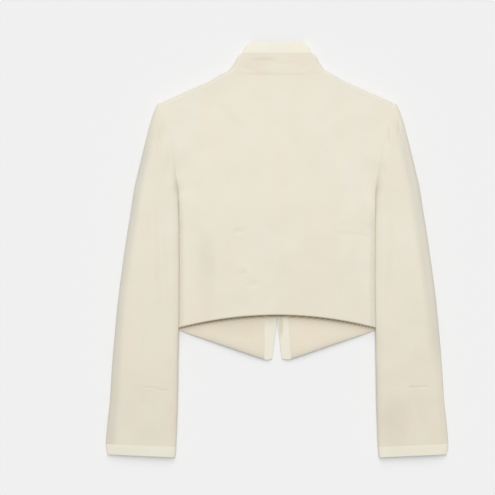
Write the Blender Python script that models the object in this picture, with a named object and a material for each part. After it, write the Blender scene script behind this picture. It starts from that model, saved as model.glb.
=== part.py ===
"""Cropped stand-collar jacket, lying flat on its front with its back up.

X runs across the jacket, +Y from hem to collar, +Z up from the surface it lies on.
Every piece is a middle surface worked out from sections, given its cloth's thickness.
"""

import math
from collections import namedtuple

import bpy
import numpy as np

# Cloth
CLOTH = 0.0018
COLLAR_CLOTH = 0.0020
EDGING_CLOTH = 0.0014
SEAM_GAP = 0.0003

# Levels of the panels' middle surfaces where they lie on each other
FLOOR_LEVEL = CLOTH / 2
BACK_LEVEL = FLOOR_LEVEL + CLOTH + SEAM_GAP
SLEEVE_LEVEL = BACK_LEVEL + CLOTH + SEAM_GAP

# Body
HEM_SIDE_Y = -0.135
HEM_RISE = 0.0235
HEM_HALF_WIDTH = 0.1725
UNDERARM_Y = 0.028
UNDERARM_HALF_WIDTH = 0.208
SHOULDER_TIP_Y = 0.250
SHOULDER_TIP_HALF_WIDTH = 0.1955
NECK_Y = 0.298
SHOULDER_END_HALF_WIDTH = 0.0955
SHOULDER_SLOPE = (NECK_Y - SHOULDER_TIP_Y) / (SHOULDER_TIP_HALF_WIDTH - SHOULDER_END_HALF_WIDTH)
NECK_HALF_WIDTH = 0.0910
FRONT_NECK_DROP = 0.064
NECK_CURVE = 1.5
SHOULDER_ROUND = 0.018
CROWN_REACH = 0.052
FOLDED_LOFT = 0.006
PRESSED_HALF_WIDTH = 0.166
PRESSED_TOP_Y = 0.100
SIDE_CURVE = 1.3
SHAPED_HEM_HEIGHT = 0.135
SHAPED_NECK_DEPTH = 0.148

# Front edges
POINT_DROP = 0.0555
POINT_HALF_WIDTH = 0.010
POINT_REACH = 1.05
POINT_ROUND = 0.006
CLOSED_HALF_GAP = 0.0012
OPEN_HALF_GAP = 0.0085
OPENING_TOP_Y = -0.105
FRONT_EDGING_WIDTH = 0.0165

# Collar
COLLAR_TOP_Y = 0.3355
COLLAR_EDGING_TOP_Y = 0.3536
COLLAR_FRONT_HALF_GAP = 0.003
COLLAR_SIDE_LIFT = 0.0032
COLLAR_LIFT_POWER = 4
COLLAR_DROP_POWER = 4

# Sleeves
CUFF_SEAM_Y = -0.2325
CUFF_EDGING_Y = -0.3330
CUFF_EDGING_INSET = 0.0003
SLEEVE_END_Y = -0.3505
SLEEVE_TOP_Y = 0.2485
END_SLANT = 0.045
SLANT_START_Y = -0.150
SIDE_STEP_START = 0.006
SIDE_STEP_END = 0.018
SIDE_STEP_MIDDLE = (SIDE_STEP_START + SIDE_STEP_END) / 2
UNDERARM_BLEND = 0.026
HEM_STEP_LENGTH = 0.022
ROLLED_UNDER_Y = 0.070
UNDER_FULL_LENGTH = 0.015

# Mesh density
FLOOR_COLUMNS = 4
OUTER_COLUMNS = 7
UPPER_COLUMNS = 8
INNER_COLUMNS = 7
UNDER_COLUMNS = 4
SLEEVE_ROWS_BELOW_UNDERARM = 10
CUFF_ROWS = 4
SIDE_ROWS = 6
ARMHOLE_ROWS = 13
SHOULDER_ROWS = 4
EDGING_ROWS = 2
BACK_COLUMNS = 24
EVEN_COLUMN_SHARE = 0.55
FRONT_COLUMNS = 7
COLLAR_LOWER_COLUMNS = 5
COLLAR_BEND_COLUMNS = 6
COLLAR_UPPER_COLUMNS = 8
COLLAR_ROWS = 5
PATH_SAMPLES = 240
ARC_SAMPLES = 40

# Section tables: one row for each section, from the bottom up
ArmholeRow = namedtuple("ArmholeRow", "y back front back_height")
ARMHOLE = (
    ArmholeRow(UNDERARM_Y, UNDERARM_HALF_WIDTH, UNDERARM_HALF_WIDTH, BACK_LEVEL),
    ArmholeRow(0.042, 0.194, 0.194, BACK_LEVEL),
    ArmholeRow(0.060, 0.181, 0.180, BACK_LEVEL),
    ArmholeRow(0.080, 0.171, 0.169, BACK_LEVEL),
    ArmholeRow(0.100, 0.1680, 0.1640, 0.0042),
    ArmholeRow(0.125, 0.1715, 0.1630, 0.0080),
    ArmholeRow(0.155, 0.1760, 0.1650, 0.0115),
    ArmholeRow(0.190, 0.1825, 0.1720, 0.0125),
    ArmholeRow(0.225, 0.1900, 0.1840, 0.0105),
    ArmholeRow(SHOULDER_TIP_Y, SHOULDER_TIP_HALF_WIDTH, SHOULDER_TIP_HALF_WIDTH, 0.0065),
)

ShoulderRow = namedtuple("ShoulderRow", "y half_width")
SHOULDER = (
    ShoulderRow(SHOULDER_TIP_Y, SHOULDER_TIP_HALF_WIDTH),
    ShoulderRow(0.2750, 0.1400),
    ShoulderRow(0.2872, 0.1125),
    ShoulderRow(NECK_Y, SHOULDER_END_HALF_WIDTH),
)

CrownRow = namedtuple("CrownRow", "y height")
CROWN = (
    CrownRow(HEM_SIDE_Y, 0.0085),
    CrownRow(-0.060, 0.0120),
    CrownRow(0.020, 0.0145),
    CrownRow(0.120, 0.0155),
    CrownRow(0.220, 0.0150),
    CrownRow(NECK_Y, 0.0130),
)

SleeveRow = namedtuple("SleeveRow", "y inner outer height bend roll")
SLEEVE = (
    SleeveRow(SLEEVE_END_Y, 0.1740, 0.2890, 0.0150, 0.0065, 180),
    SleeveRow(-0.3340, 0.1722, 0.2915, 0.0165, 0.0070, 180),
    SleeveRow(-0.3000, 0.1708, 0.2890, 0.0180, 0.0080, 180),
    SleeveRow(-0.2560, 0.1693, 0.2842, 0.0195, 0.0085, 180),
    SleeveRow(-0.2100, 0.1685, 0.2814, 0.0210, 0.0090, 180),
    SleeveRow(-0.1540, 0.1676, 0.2770, 0.0225, 0.0095, 180),
    SleeveRow(-0.0860, 0.1664, 0.2704, 0.0240, 0.0095, 180),
    SleeveRow(-0.0180, 0.1662, 0.2615, 0.0250, 0.0100, 180),
    SleeveRow(UNDERARM_Y, 0.1664, 0.2548, 0.0255, 0.0100, 180),
    SleeveRow(ROLLED_UNDER_Y, 0.1673, 0.2480, 0.0255, 0.0100, 180),
    SleeveRow(0.1000, 0.1683, 0.2435, 0.0250, 0.0105, 90),
    SleeveRow(0.1250, 0.1720, 0.2382, 0.0242, 0.0110, 75),
    SleeveRow(0.1550, 0.1760, 0.2310, 0.0228, 0.0115, 66),
    SleeveRow(0.1900, 0.1825, 0.2225, 0.0200, 0.0110, 58),
    SleeveRow(0.2170, 0.1885, 0.2155, 0.0165, 0.0085, 50),
    SleeveRow(0.2340, 0.1920, 0.2096, 0.0130, 0.0060, 45),
    SleeveRow(SLEEVE_TOP_Y, 0.1950, 0.2030, 0.0085, 0.0028, 40),
)

CollarRow = namedtuple("CollarRow", "y half_width height")
COLLAR = (
    CollarRow(NECK_Y, NECK_HALF_WIDTH, 0.0130),
    CollarRow(0.3020, 0.0862, 0.0129),
    CollarRow(0.3060, 0.0812, 0.0128),
    CollarRow(0.3120, 0.0762, 0.0125),
    CollarRow(0.3190, 0.0720, 0.0120),
    CollarRow(0.3260, 0.0685, 0.0115),
    CollarRow(0.3310, 0.0640, 0.0110),
    CollarRow(0.3360, 0.0585, 0.0105),
    CollarRow(0.3460, 0.0535, 0.0095),
    CollarRow(COLLAR_EDGING_TOP_Y, 0.0455, 0.0085),
)

# Largest folds: soft troughs in the upper cloth, each a line from one end to the other
FoldRow = namedtuple("FoldRow", "x_low y_low x_high y_high half_width depth")
SLEEVE_FOLDS = {
    -1: (
        FoldRow(0.194, -0.120, 0.205, 0.080, 0.010, 0.0020),
        FoldRow(0.262, -0.150, 0.240, 0.020, 0.012, 0.0010),
    ),
    1: (
        FoldRow(0.188, -0.080, 0.196, 0.070, 0.010, 0.0016),
        FoldRow(0.250, -0.330, 0.236, -0.240, 0.014, 0.0014),
    ),
}
BACK_FOLDS = (
    FoldRow(-0.136, -0.090, -0.139, 0.050, 0.013, 0.0022),
    FoldRow(-0.150, 0.090, -0.158, 0.170, 0.011, 0.0016),
    FoldRow(0.150, -0.020, 0.156, 0.050, 0.012, 0.0014),
)

# Colours, linear RGB
MAIN_COLOUR = (0.775, 0.742, 0.615, 1.0)
EDGING_COLOUR = (0.860, 0.830, 0.700, 1.0)
INSIDE_COLOUR = (0.740, 0.672, 0.555, 1.0)
CLOTH_ROUGHNESS = 0.9


def smooth_through(xs, ys, at):
    """A curve through the points (xs, ys) that never overshoots them, read at the values at."""
    xs = np.asarray(xs, float)
    ys = np.asarray(ys, float)
    at = np.clip(np.asarray(at, float), xs[0], xs[-1])
    steps = np.diff(xs)
    slopes = np.diff(ys) / steps
    tangents = np.empty_like(ys)
    tangents[0] = slopes[0]
    tangents[-1] = slopes[-1]
    same_way = slopes[:-1] * slopes[1:] > 0
    total = np.where(same_way, slopes[:-1] + slopes[1:], 1.0)
    tangents[1:-1] = np.where(same_way, 2 * slopes[:-1] * slopes[1:] / total, 0.0)
    span = np.clip(np.searchsorted(xs, at, side="right") - 1, 0, len(steps) - 1)
    t = (at - xs[span]) / steps[span]
    start = (1 + 2 * t) * (1 - t) ** 2 * ys[span] + t * (1 - t) ** 2 * steps[span] * tangents[span]
    end = t * t * (3 - 2 * t) * ys[span + 1] + t * t * (t - 1) * steps[span] * tangents[span + 1]
    return start + end


def column(table, name, y):
    """One column of a section table at height y."""
    return smooth_through([row.y for row in table], [getattr(row, name) for row in table], y)


def eased(t):
    """0 to 1 with a soft start and end."""
    t = np.clip(t, 0.0, 1.0)
    return t * t * (3 - 2 * t)


def fold_depth(folds, x, y):
    """How far the soft troughs sink the cloth at x, y."""
    sink = np.zeros(np.broadcast(x, y).shape)
    for fold in folds:
        along = (y - fold.y_low) / (fold.y_high - fold.y_low)
        line = fold.x_low + (fold.x_high - fold.x_low) * along
        across = np.exp(-(((x - line) / fold.half_width) ** 2))
        fade = np.where((along > 0) & (along < 1), np.sin(np.pi * np.clip(along, 0, 1)), 0.0)
        sink = sink + fold.depth * across * fade
    return sink


# Body outline


def side_half_width(y):
    """The side seam, from the hem's corner out to the underarm."""
    t = (y - HEM_SIDE_Y) / (UNDERARM_Y - HEM_SIDE_Y)
    return HEM_HALF_WIDTH + (UNDERARM_HALF_WIDTH - HEM_HALF_WIDTH) * np.clip(t, 0, 1) ** SIDE_CURVE


def shoulder_seam_y(x):
    """The shoulder seam's height at a distance from the middle, carried on past the neck."""
    outward = SHOULDER[::-1]
    seam = smooth_through([row.half_width for row in outward], [row.y for row in outward], np.abs(x))
    return seam + SHOULDER_SLOPE * np.clip(SHOULDER_END_HALF_WIDTH - np.abs(x), 0, None)


def panel_half_width(y, armhole_column):
    """A panel's outer edge: side seam, armhole, then shoulder."""
    below = np.where(y < UNDERARM_Y, side_half_width(y), column(ARMHOLE, armhole_column, y))
    return np.where(y > SHOULDER_TIP_Y, column(SHOULDER, "half_width", y), below)


def body_rows():
    """Section heights of a body panel, closer together round the armhole."""
    side = np.linspace(HEM_SIDE_Y, UNDERARM_Y, SIDE_ROWS + 1)
    shoulder = np.linspace(SHOULDER_TIP_Y, NECK_Y, SHOULDER_ROWS + 1)
    return np.concatenate([side, armhole_rows(), shoulder[1:]])


def armhole_rows():
    """Section heights above the underarm, which the panels and the sleeves share."""
    return np.linspace(UNDERARM_Y, SHOULDER_TIP_Y, ARMHOLE_ROWS + 1)[1:]


def back_height(x, y):
    """The back's height: pressed flat at the sides, crowned between, rounded down at the shoulders."""
    edge = np.minimum(panel_half_width(y, "back"), np.where(y < PRESSED_TOP_Y, PRESSED_HALF_WIDTH, 1.0))
    edge_height = np.where(y < UNDERARM_Y, BACK_LEVEL, column(ARMHOLE, "back_height", y))
    crown = column(CROWN, "height", y)
    height = edge_height + (crown - edge_height) * eased((edge - np.abs(x)) / CROWN_REACH)
    inside = (shoulder_seam_y(x) - y) / math.hypot(1, SHOULDER_SLOPE)
    rounded = np.sqrt(1 - (1 - np.clip(inside / SHOULDER_ROUND, 0, 1)) ** 2)
    lofted = (height - BACK_LEVEL) * rounded
    return BACK_LEVEL + lofted - fold_depth(BACK_FOLDS, x, y) * eased(lofted / FOLDED_LOFT)


def back_surface():
    """Rows of constant height from side to side, the lower ones lifted towards the middle of the hem."""
    t = np.linspace(-1, 1, BACK_COLUMNS + 1)
    s = EVEN_COLUMN_SHARE * t + (1 - EVEN_COLUMN_SHARE) * np.sin(t * np.pi / 2)
    rows = body_rows()[:, None]
    x = s[None, :] * panel_half_width(rows, "back")
    lift = np.clip((HEM_SIDE_Y + SHAPED_HEM_HEIGHT - rows) / SHAPED_HEM_HEIGHT, 0, 1)
    y = rows + HEM_RISE * (1 - s[None, :] ** 2) * lift
    return np.stack([x, y, back_height(x, y)], axis=-1)


# Fronts


def front_edge(y):
    """Half the gap between the fronts: closed above, opening towards the points."""
    opened = (OPENING_TOP_Y - y) / (OPENING_TOP_Y - HEM_SIDE_Y + POINT_DROP)
    return CLOSED_HALF_GAP + (OPEN_HALF_GAP - CLOSED_HALF_GAP) * np.clip(opened, 0, 1)


def neck_drop(across):
    """How far the fronts' neckline lies below the back's, from its middle (0) to its sides (1 and -1)."""
    return FRONT_NECK_DROP * np.clip(1 - across ** 2, 0, 1) ** NECK_CURVE


def front_point(rows, x):
    """Moves rows of a front down to its pointed lower edge, and down to its neckline."""
    across = np.clip((HEM_HALF_WIDTH - x) / (HEM_HALF_WIDTH - POINT_HALF_WIDTH), 0, POINT_REACH)
    low = np.clip((HEM_SIDE_Y + SHAPED_HEM_HEIGHT - rows) / SHAPED_HEM_HEIGHT, 0, 1)
    high = np.clip((rows - NECK_Y + SHAPED_NECK_DEPTH) / SHAPED_NECK_DEPTH, 0, 1)
    return rows - POINT_DROP * across * low - (neck_drop(x / NECK_HALF_WIDTH) + SEAM_GAP) * high


def front_surface(side):
    """A flat panel from its edging's seam out to the side seam, armhole and shoulder."""
    s = np.linspace(0, 1, FRONT_COLUMNS + 1)[None, :]
    rows = body_rows()[:, None]
    edge = front_edge(front_point(rows, np.full_like(rows, POINT_HALF_WIDTH)))
    seam = edge + FRONT_EDGING_WIDTH + SEAM_GAP
    x = seam + s * (panel_half_width(rows, "front") - seam)
    y = front_point(rows, x)
    return np.stack([side * x, y, np.full_like(y, FLOOR_LEVEL)], axis=-1)


def front_edging_surface(side):
    """The light band down a front's edge, its lower corner rounded off."""
    s = np.linspace(0, 1, EDGING_ROWS + 2)[None, :]
    rows = body_rows()[:, None]
    edge = front_edge(front_point(rows, np.full_like(rows, POINT_HALF_WIDTH)))
    x = edge + s * FRONT_EDGING_WIDTH
    low = np.clip((HEM_SIDE_Y + SHAPED_HEM_HEIGHT - rows) / SHAPED_HEM_HEIGHT, 0, 1)
    y = front_point(rows, x) + POINT_ROUND * (1 - s) ** 2 * low
    return np.stack([side * x, y, np.full_like(y, EDGING_CLOTH / 2)], axis=-1)


# Flattened tubes


def arc(centre, radii, start, end, count):
    """An elliptical arc in the x, z plane, angles in degrees."""
    angle = np.radians(np.linspace(start, end, count))
    return np.stack([centre[0] + radii[0] * np.cos(angle), centre[1] + radii[1] * np.sin(angle)], axis=-1)


def under_sleeve_level(x, y):
    """The lower cloth of a sleeve: on the floor, or over the body's side where that lies beneath."""
    out = (x - side_half_width(y) - SIDE_STEP_START) / (SIDE_STEP_END - SIDE_STEP_START)
    below_hem = (HEM_SIDE_Y - y) / HEM_STEP_LENGTH
    over_body = (1 - eased(out)) * (1 - eased(below_hem))
    return FLOOR_LEVEL + (SLEEVE_LEVEL - FLOOR_LEVEL) * over_body


def floor_run(y, floor, end_x, start_limit):
    """The lower cloth, from the seam under the arm out to the outer bend, and where it starts."""
    if y <= UNDERARM_Y:
        start_x = max(float(side_half_width(y)) + SIDE_STEP_MIDDLE, start_limit + SIDE_STEP_START)
        x = np.linspace(start_x, end_x, FLOOR_COLUMNS + 1)
        return np.stack([x, under_sleeve_level(x, y) - FLOOR_LEVEL + floor], axis=-1)
    nearness = float(eased(1 - (y - UNDERARM_Y) / UNDERARM_BLEND))
    start_x = float(column(ARMHOLE, "front", y)) + SEAM_GAP + SIDE_STEP_MIDDLE * nearness
    x = np.linspace(start_x, end_x, FLOOR_COLUMNS + 1)
    meet = float(under_sleeve_level(UNDERARM_HALF_WIDTH + SIDE_STEP_MIDDLE, UNDERARM_Y))
    raised = (meet - floor) * nearness * eased(1 - (x - start_x) / SIDE_STEP_MIDDLE)
    return np.stack([x, floor + raised], axis=-1)


def under_run(y, floor, centre_x, seam_x):
    """The cloth that turns back beneath the inner bend, out to the seam under the arm."""
    if y <= UNDERARM_Y:
        x = np.linspace(centre_x, seam_x, PATH_SAMPLES)
        return np.stack([x, under_sleeve_level(x, y) - FLOOR_LEVEL + floor], axis=-1)
    nearness = float(eased(1 - (y - UNDERARM_Y) / UNDERARM_BLEND))
    armhole_x = float(column(ARMHOLE, "back", y))
    end_x = max(armhole_x + SIDE_STEP_MIDDLE * nearness, centre_x + SEAM_GAP)
    x = np.linspace(centre_x, end_x, PATH_SAMPLES)
    meet = float(under_sleeve_level(UNDERARM_HALF_WIDTH + SIDE_STEP_MIDDLE, UNDERARM_Y))
    beyond = eased((x - armhole_x - SIDE_STEP_START) / SIDE_STEP_MIDDLE)
    return np.stack([x, SLEEVE_LEVEL + (meet - SLEEVE_LEVEL) * beyond], axis=-1)


def bend_and_under(bend, under):
    """Even points round the inner bend and then along the cloth under it, which may have no length yet."""
    path = np.concatenate([bend, under[1:]])
    walked = np.concatenate([[0], np.cumsum(np.hypot(*np.diff(path, axis=0).T))])
    bend_length = walked[len(bend) - 1]
    share = INNER_COLUMNS / (INNER_COLUMNS + UNDER_COLUMNS)
    turned = eased((walked[-1] - bend_length) / UNDER_FULL_LENGTH)
    break_at = walked[-1] * share * (1 - turned) + bend_length * turned
    round_bend = np.linspace(0, break_at, INNER_COLUMNS + 1)
    along_under = np.linspace(break_at, walked[-1], UNDER_COLUMNS + 1)
    at = np.concatenate([round_bend, along_under[1:]])
    return np.stack([np.interp(at, walked, path[:, 0]), np.interp(at, walked, path[:, 1])], axis=-1)


def sleeve_section(y, wall, inset):
    """The x, z points of one section: floor, outer bend, upper cloth, inner bend, cloth under it."""
    inner = float(column(SLEEVE, "inner", y)) + inset + CLOTH / 2
    outer = float(column(SLEEVE, "outer", y)) - inset - CLOTH / 2
    top = float(column(SLEEVE, "height", y)) - inset - CLOTH / 2
    bend = float(column(SLEEVE, "bend", y))
    roll = math.radians(float(column(SLEEVE, "roll", y)))
    floor = wall / 2
    radius = (top - floor) / 2
    floor_points = floor_run(y, floor, outer - radius, inner + bend)
    outer_bend = arc((outer - radius, floor + radius), (radius, radius), -90, 90, OUTER_COLUMNS + 1)
    seam_level = max(float(column(ARMHOLE, "back_height", y)), SLEEVE_LEVEL)
    centre_x = inner + bend
    if y <= UNDERARM_Y:
        seam_level = float(under_sleeve_level(centre_x, y)) - FLOOR_LEVEL + floor
    elif roll <= math.pi / 2:
        seam_x = float(column(ARMHOLE, "back", y)) + SEAM_GAP + CLOTH / 2 * math.sin(roll)
        centre_x = seam_x + bend * math.sin(roll)
    depth = (top - seam_level) / (1 - math.cos(roll))
    inner_bend = arc((centre_x, top - depth), (bend, depth), 90, 90 + math.degrees(roll), ARC_SAMPLES)
    under = inner_bend[-1:]
    if y < ROLLED_UNDER_Y:
        under = under_run(y, floor, centre_x, floor_points[0, 0])
    upper_x = np.linspace(outer_bend[-1, 0], centre_x, UPPER_COLUMNS + 1)[1:-1]
    upper = np.stack([upper_x, np.full_like(upper_x, top)], axis=-1)
    return np.concatenate([floor_points, outer_bend[1:], upper, bend_and_under(inner_bend, under)])


def sleeve_surface(side, rows, wall=CLOTH, inset=0.0):
    """Sections stacked along Y, slanted towards the cuff, with the largest folds in the upper cloth."""
    sections = np.stack([sleeve_section(float(y), wall, inset) for y in rows])
    x = sections[:, :, 0]
    z = sections[:, :, 1]
    y = np.broadcast_to(rows[:, None], x.shape)
    slant = END_SLANT * np.clip((SLANT_START_Y - y) / (SLANT_START_Y - SLEEVE_END_Y), 0, 1)
    middle = (column(SLEEVE, "inner", y) + column(SLEEVE, "outer", y)) / 2
    upper = eased((z - column(SLEEVE, "height", y) / 2) / (column(SLEEVE, "height", y) / 3))
    sunk = z - fold_depth(SLEEVE_FOLDS[side], x, y) * upper
    return np.stack([side * x, y + slant * (x - middle), sunk], axis=-1)


def sleeve_rows():
    """Section heights of a sleeve from the cuff's seam to the head, with the underarm's row among them."""
    below = np.linspace(CUFF_SEAM_Y + SEAM_GAP, UNDERARM_Y, SLEEVE_ROWS_BELOW_UNDERARM + 1)
    return np.concatenate([below, armhole_rows()[:-1], [SLEEVE_TOP_Y]])


def collar_surface(low, high, row_count, wall):
    """Flattened rings open at the front, whose lower cloth drops to the fronts' neckline."""
    rows = np.linspace(low, high, row_count + 1)
    points = []
    for y in rows:
        half_width = float(column(COLLAR, "half_width", y)) - wall / 2
        top = float(column(COLLAR, "height", y)) - wall / 2
        radius = (top - wall / 2) / 2
        bend_x = half_width - radius
        bend = arc((bend_x, wall / 2 + radius), (radius, radius), 90, -90, COLLAR_BEND_COLUMNS + 1)
        lower_x = np.linspace(bend_x, COLLAR_FRONT_HALF_GAP, COLLAR_LOWER_COLUMNS + 1)[1:]
        right = np.concatenate([bend, np.stack([lower_x, np.full_like(lower_x, wall / 2)], axis=-1)])
        upper_x = np.linspace(-bend_x, bend_x, COLLAR_UPPER_COLUMNS + 1)[1:-1]
        upper = np.stack([upper_x, np.full_like(upper_x, top)], axis=-1)
        x, z = np.concatenate([right[::-1] * (-1, 1), upper, right]).T
        under = (top - z) / (top - wall / 2)
        across = np.clip(x / (half_width + wall / 2), -1, 1)
        dropped = y - neck_drop(across) * under ** COLLAR_DROP_POWER
        lower = (COLLAR_EDGING_TOP_Y - y) / (COLLAR_EDGING_TOP_Y - NECK_Y)
        lifted = COLLAR_SIDE_LIFT * across ** COLLAR_LIFT_POWER * lower
        points.append(np.stack([x, dropped + lifted, z], axis=-1))
    return np.stack(points)


# Solids


def cloth_material(name, colour):
    """A matt cloth of one colour."""
    material = bpy.data.materials.new(name)
    material.use_nodes = True
    shader = material.node_tree.nodes["Principled BSDF"]
    shader.inputs["Base Color"].default_value = colour
    shader.inputs["Roughness"].default_value = CLOTH_ROUGHNESS
    shader.inputs["Metallic"].default_value = 0.0
    return material


def add_piece(name, surface, thickness, colour, closed_rows=0):
    """A piece from its grid of points; the first closed_rows rows join their last column to their first."""
    row_count, column_count = surface.shape[:2]
    numbers = np.arange(row_count * column_count).reshape(row_count, column_count)
    numbers[:closed_rows, -1] = numbers[:closed_rows, 0]
    quads = np.stack([numbers[:-1, :-1], numbers[:-1, 1:], numbers[1:, 1:], numbers[1:, :-1]], axis=-1)
    used, order = np.unique(quads, return_inverse=True)
    mesh = bpy.data.meshes.new(name)
    mesh.from_pydata(surface.reshape(-1, 3)[used].tolist(), [], order.reshape(-1, 4).tolist())
    mesh.shade_smooth()
    mesh.materials.append(cloth_material(name, colour))
    piece = bpy.data.objects.new(name, mesh)
    bpy.context.scene.collection.objects.link(piece)
    wall = piece.modifiers.new("wall", "SOLIDIFY")
    wall.thickness = thickness
    wall.offset = 0.0
    return piece


def build():
    """All pieces of the jacket."""
    for old in list(bpy.data.objects):
        bpy.data.objects.remove(old)
    add_piece("back", back_surface(), CLOTH, MAIN_COLOUR)
    collar = collar_surface(NECK_Y + SEAM_GAP, COLLAR_TOP_Y, COLLAR_ROWS, COLLAR_CLOTH)
    add_piece("collar", collar, COLLAR_CLOTH, MAIN_COLOUR)
    edging = collar_surface(COLLAR_TOP_Y + 2 * SEAM_GAP, COLLAR_EDGING_TOP_Y, EDGING_ROWS, EDGING_CLOTH)
    add_piece("collar_edging", edging, EDGING_CLOTH, EDGING_COLOUR)
    cuff_rows = np.linspace(CUFF_EDGING_Y, CUFF_SEAM_Y, CUFF_ROWS + 1)
    edging_rows = np.linspace(SLEEVE_END_Y, CUFF_EDGING_Y - SEAM_GAP, EDGING_ROWS + 1)
    for side, word in ((-1, "left"), (1, "right")):
        add_piece(f"front_{word}", front_surface(side), CLOTH, INSIDE_COLOUR)
        add_piece(f"front_edging_{word}", front_edging_surface(side), EDGING_CLOTH, EDGING_COLOUR)
        sleeve = sleeve_surface(side, sleeve_rows())
        add_piece(f"sleeve_{word}", sleeve, CLOTH, MAIN_COLOUR, SLEEVE_ROWS_BELOW_UNDERARM + 1)
        cuff = sleeve_surface(side, cuff_rows)
        add_piece(f"cuff_{word}", cuff, CLOTH, MAIN_COLOUR, CUFF_ROWS + 1)
        edging = sleeve_surface(side, edging_rows, EDGING_CLOTH, CUFF_EDGING_INSET)
        add_piece(f"cuff_edging_{word}", edging, EDGING_CLOTH, EDGING_COLOUR, EDGING_ROWS + 1)


build()
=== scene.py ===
"""Cropped stand-collar jacket that lies flat on its front: its cloth, its sewing and a studio stage.

X runs across the jacket, +Y from hem to collar, +Z up from the floor. Lengths are in metres, apart from the
rows of creases and patches, which are in millimetres.
"""

import math
from collections import namedtuple
from functools import partial

import bpy
import numpy as np
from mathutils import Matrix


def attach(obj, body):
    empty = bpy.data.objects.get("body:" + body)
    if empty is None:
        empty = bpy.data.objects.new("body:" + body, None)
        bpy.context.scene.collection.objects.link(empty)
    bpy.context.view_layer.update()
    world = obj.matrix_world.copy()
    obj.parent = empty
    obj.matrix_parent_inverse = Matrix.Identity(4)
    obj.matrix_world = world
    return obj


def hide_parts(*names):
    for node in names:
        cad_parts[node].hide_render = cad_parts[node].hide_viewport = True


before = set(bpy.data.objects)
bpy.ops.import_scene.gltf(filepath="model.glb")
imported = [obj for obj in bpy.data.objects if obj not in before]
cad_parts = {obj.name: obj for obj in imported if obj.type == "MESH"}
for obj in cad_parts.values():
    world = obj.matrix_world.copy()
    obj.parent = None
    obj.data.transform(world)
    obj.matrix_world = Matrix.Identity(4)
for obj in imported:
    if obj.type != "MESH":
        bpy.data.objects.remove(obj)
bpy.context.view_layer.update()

bl_info = {
    "name": "Cropped jacket",
    "version": (1, 0, 0),
    "blender": (4, 5, 0),
    "location": "3D View > Sidebar > Jacket",
    "description": "Builds the cloth, the sewing and the stage of a cropped jacket laid flat on its front",
    "category": "Object",
}

BODY = "root"
SIDES = ((-1, "left"), (1, "right"))
MM = 0.001

# Levels of the panels' middle surfaces where they lie on each other
CLOTH = 0.0018
LAYER_GAP = 0.0003
FLOOR_LEVEL = CLOTH / 2
FLOOR_DROP = 0.0002
BACK_LEVEL = FLOOR_LEVEL + CLOTH + LAYER_GAP
SLEEVE_LEVEL = BACK_LEVEL + CLOTH + LAYER_GAP

# Edges: a sewn edge tucks a little under its neighbour, a free edge is folded to a full round
SEAM_LAP = 0.0005
SEAM_ROUND = 0.00012
FOLD_ROUND = CLOTH / 2
SEWN_ROUNDS = (SEAM_ROUND,) * 4
HEMMED_ROUNDS = (FOLD_ROUND, SEAM_ROUND, SEAM_ROUND, SEAM_ROUND)
TUCK = 0.0004
TUCK_REACH = 0.0030
LEAST_TUCK = 0.16
ARMHOLE_TUCK = 0.65
ARMHOLE_SHOW_Y = 0.185
ARMHOLE_SHOW_LENGTH = 0.080
FRONT_TUCK = 0.4
CUFF_END_TUCK = 0.2
# Grid lines beside an edge, in shares of its round, and beside the cuff's seam
NEAR_EDGE = np.array([0.12, 0.40, 1.0, 1.8])
NEAR_EDGE_CLEAR = 2.2
NEAR_SEAM = np.array([0.0007, 0.0013, 0.0020, 0.0029])

# Stitches, each a spindle of a few rings whose ends dip into the cloth
STITCH_INSET = 0.0012
STITCH_STEP = 0.0005
STITCH_RINGS = 5
STITCH_SIDES = 6
STITCH_TAPER = 0.8
STITCH_SINK = 0.2
STITCH_DIP = 0.9
EDGING_STITCH_MARGIN = 0.004
EDGING_STITCH_SAMPLES = 160

# Body outline
HEM_SIDE_Y = -0.135
HEM_RISE = 0.0235
HEM_HALF_WIDTH = 0.1725
UNDERARM_Y = 0.028
UNDERARM_HALF_WIDTH = 0.208
SIDE_CURVE = 1.3
SHOULDER_TIP_Y = 0.250
SHOULDER_TIP_HALF_WIDTH = 0.1955
NECK_Y = 0.298
SHOULDER_END_HALF_WIDTH = 0.0955
SHOULDER_SLOPE = (NECK_Y - SHOULDER_TIP_Y) / (SHOULDER_TIP_HALF_WIDTH - SHOULDER_END_HALF_WIDTH)
SHOULDER_ROUND = 0.0055
SHOULDER_FILL_Y = 0.236
NECK_HALF_WIDTH = 0.0910
FRONT_NECK_DROP = 0.064
NECK_CURVE = 1.5
CROWN_REACH = 0.034
PRESSED_REACH = 0.022
FOLDED_LOFT = 0.006
PRESSED_LEFT = 0.1696
PRESSED_RIGHT = 0.1716
PRESSED_FADE_Y = 0.080
PRESSED_TOP_Y = 0.120
SOFTENED_TOP_Y = 0.190
SHAPED_HEM_HEIGHT = 0.135
SHAPED_NECK_DEPTH = 0.148
HEM_ROLL = 0.0036
HEM_SET_BACK = 0.0018
HEM_ROLL_ROWS = np.array([0.32, 0.48, 0.68, 0.92]) * HEM_ROLL

# Front edges
POINT_DROP = 0.0555
POINT_HALF_WIDTH = 0.010
POINT_REACH = 1.05
POINT_ROUND = 0.006
POINT_LIFT = 0.0048
POINT_LIFT_REACH = 0.075
SIDE_LIFT_SHARE = 0.40
SIDE_LIFT_START = 6
TIP_SETTLE = 0.85
TIP_SETTLE_WIDTH = 0.026
CLOSED_HALF_GAP = 0.0005
OPEN_HALF_GAP = 0.0085
OPENING_TOP_Y = -0.127
FRONT_EDGING_RAISE = 0.0006
FRONT_EDGING_WIDTH = 0.0165
EDGING_SEAM_X = {-1: 0.0210, 1: 0.0192}
EDGING_LEAN = {-1: 0.0006, 1: 0.0050}

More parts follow.
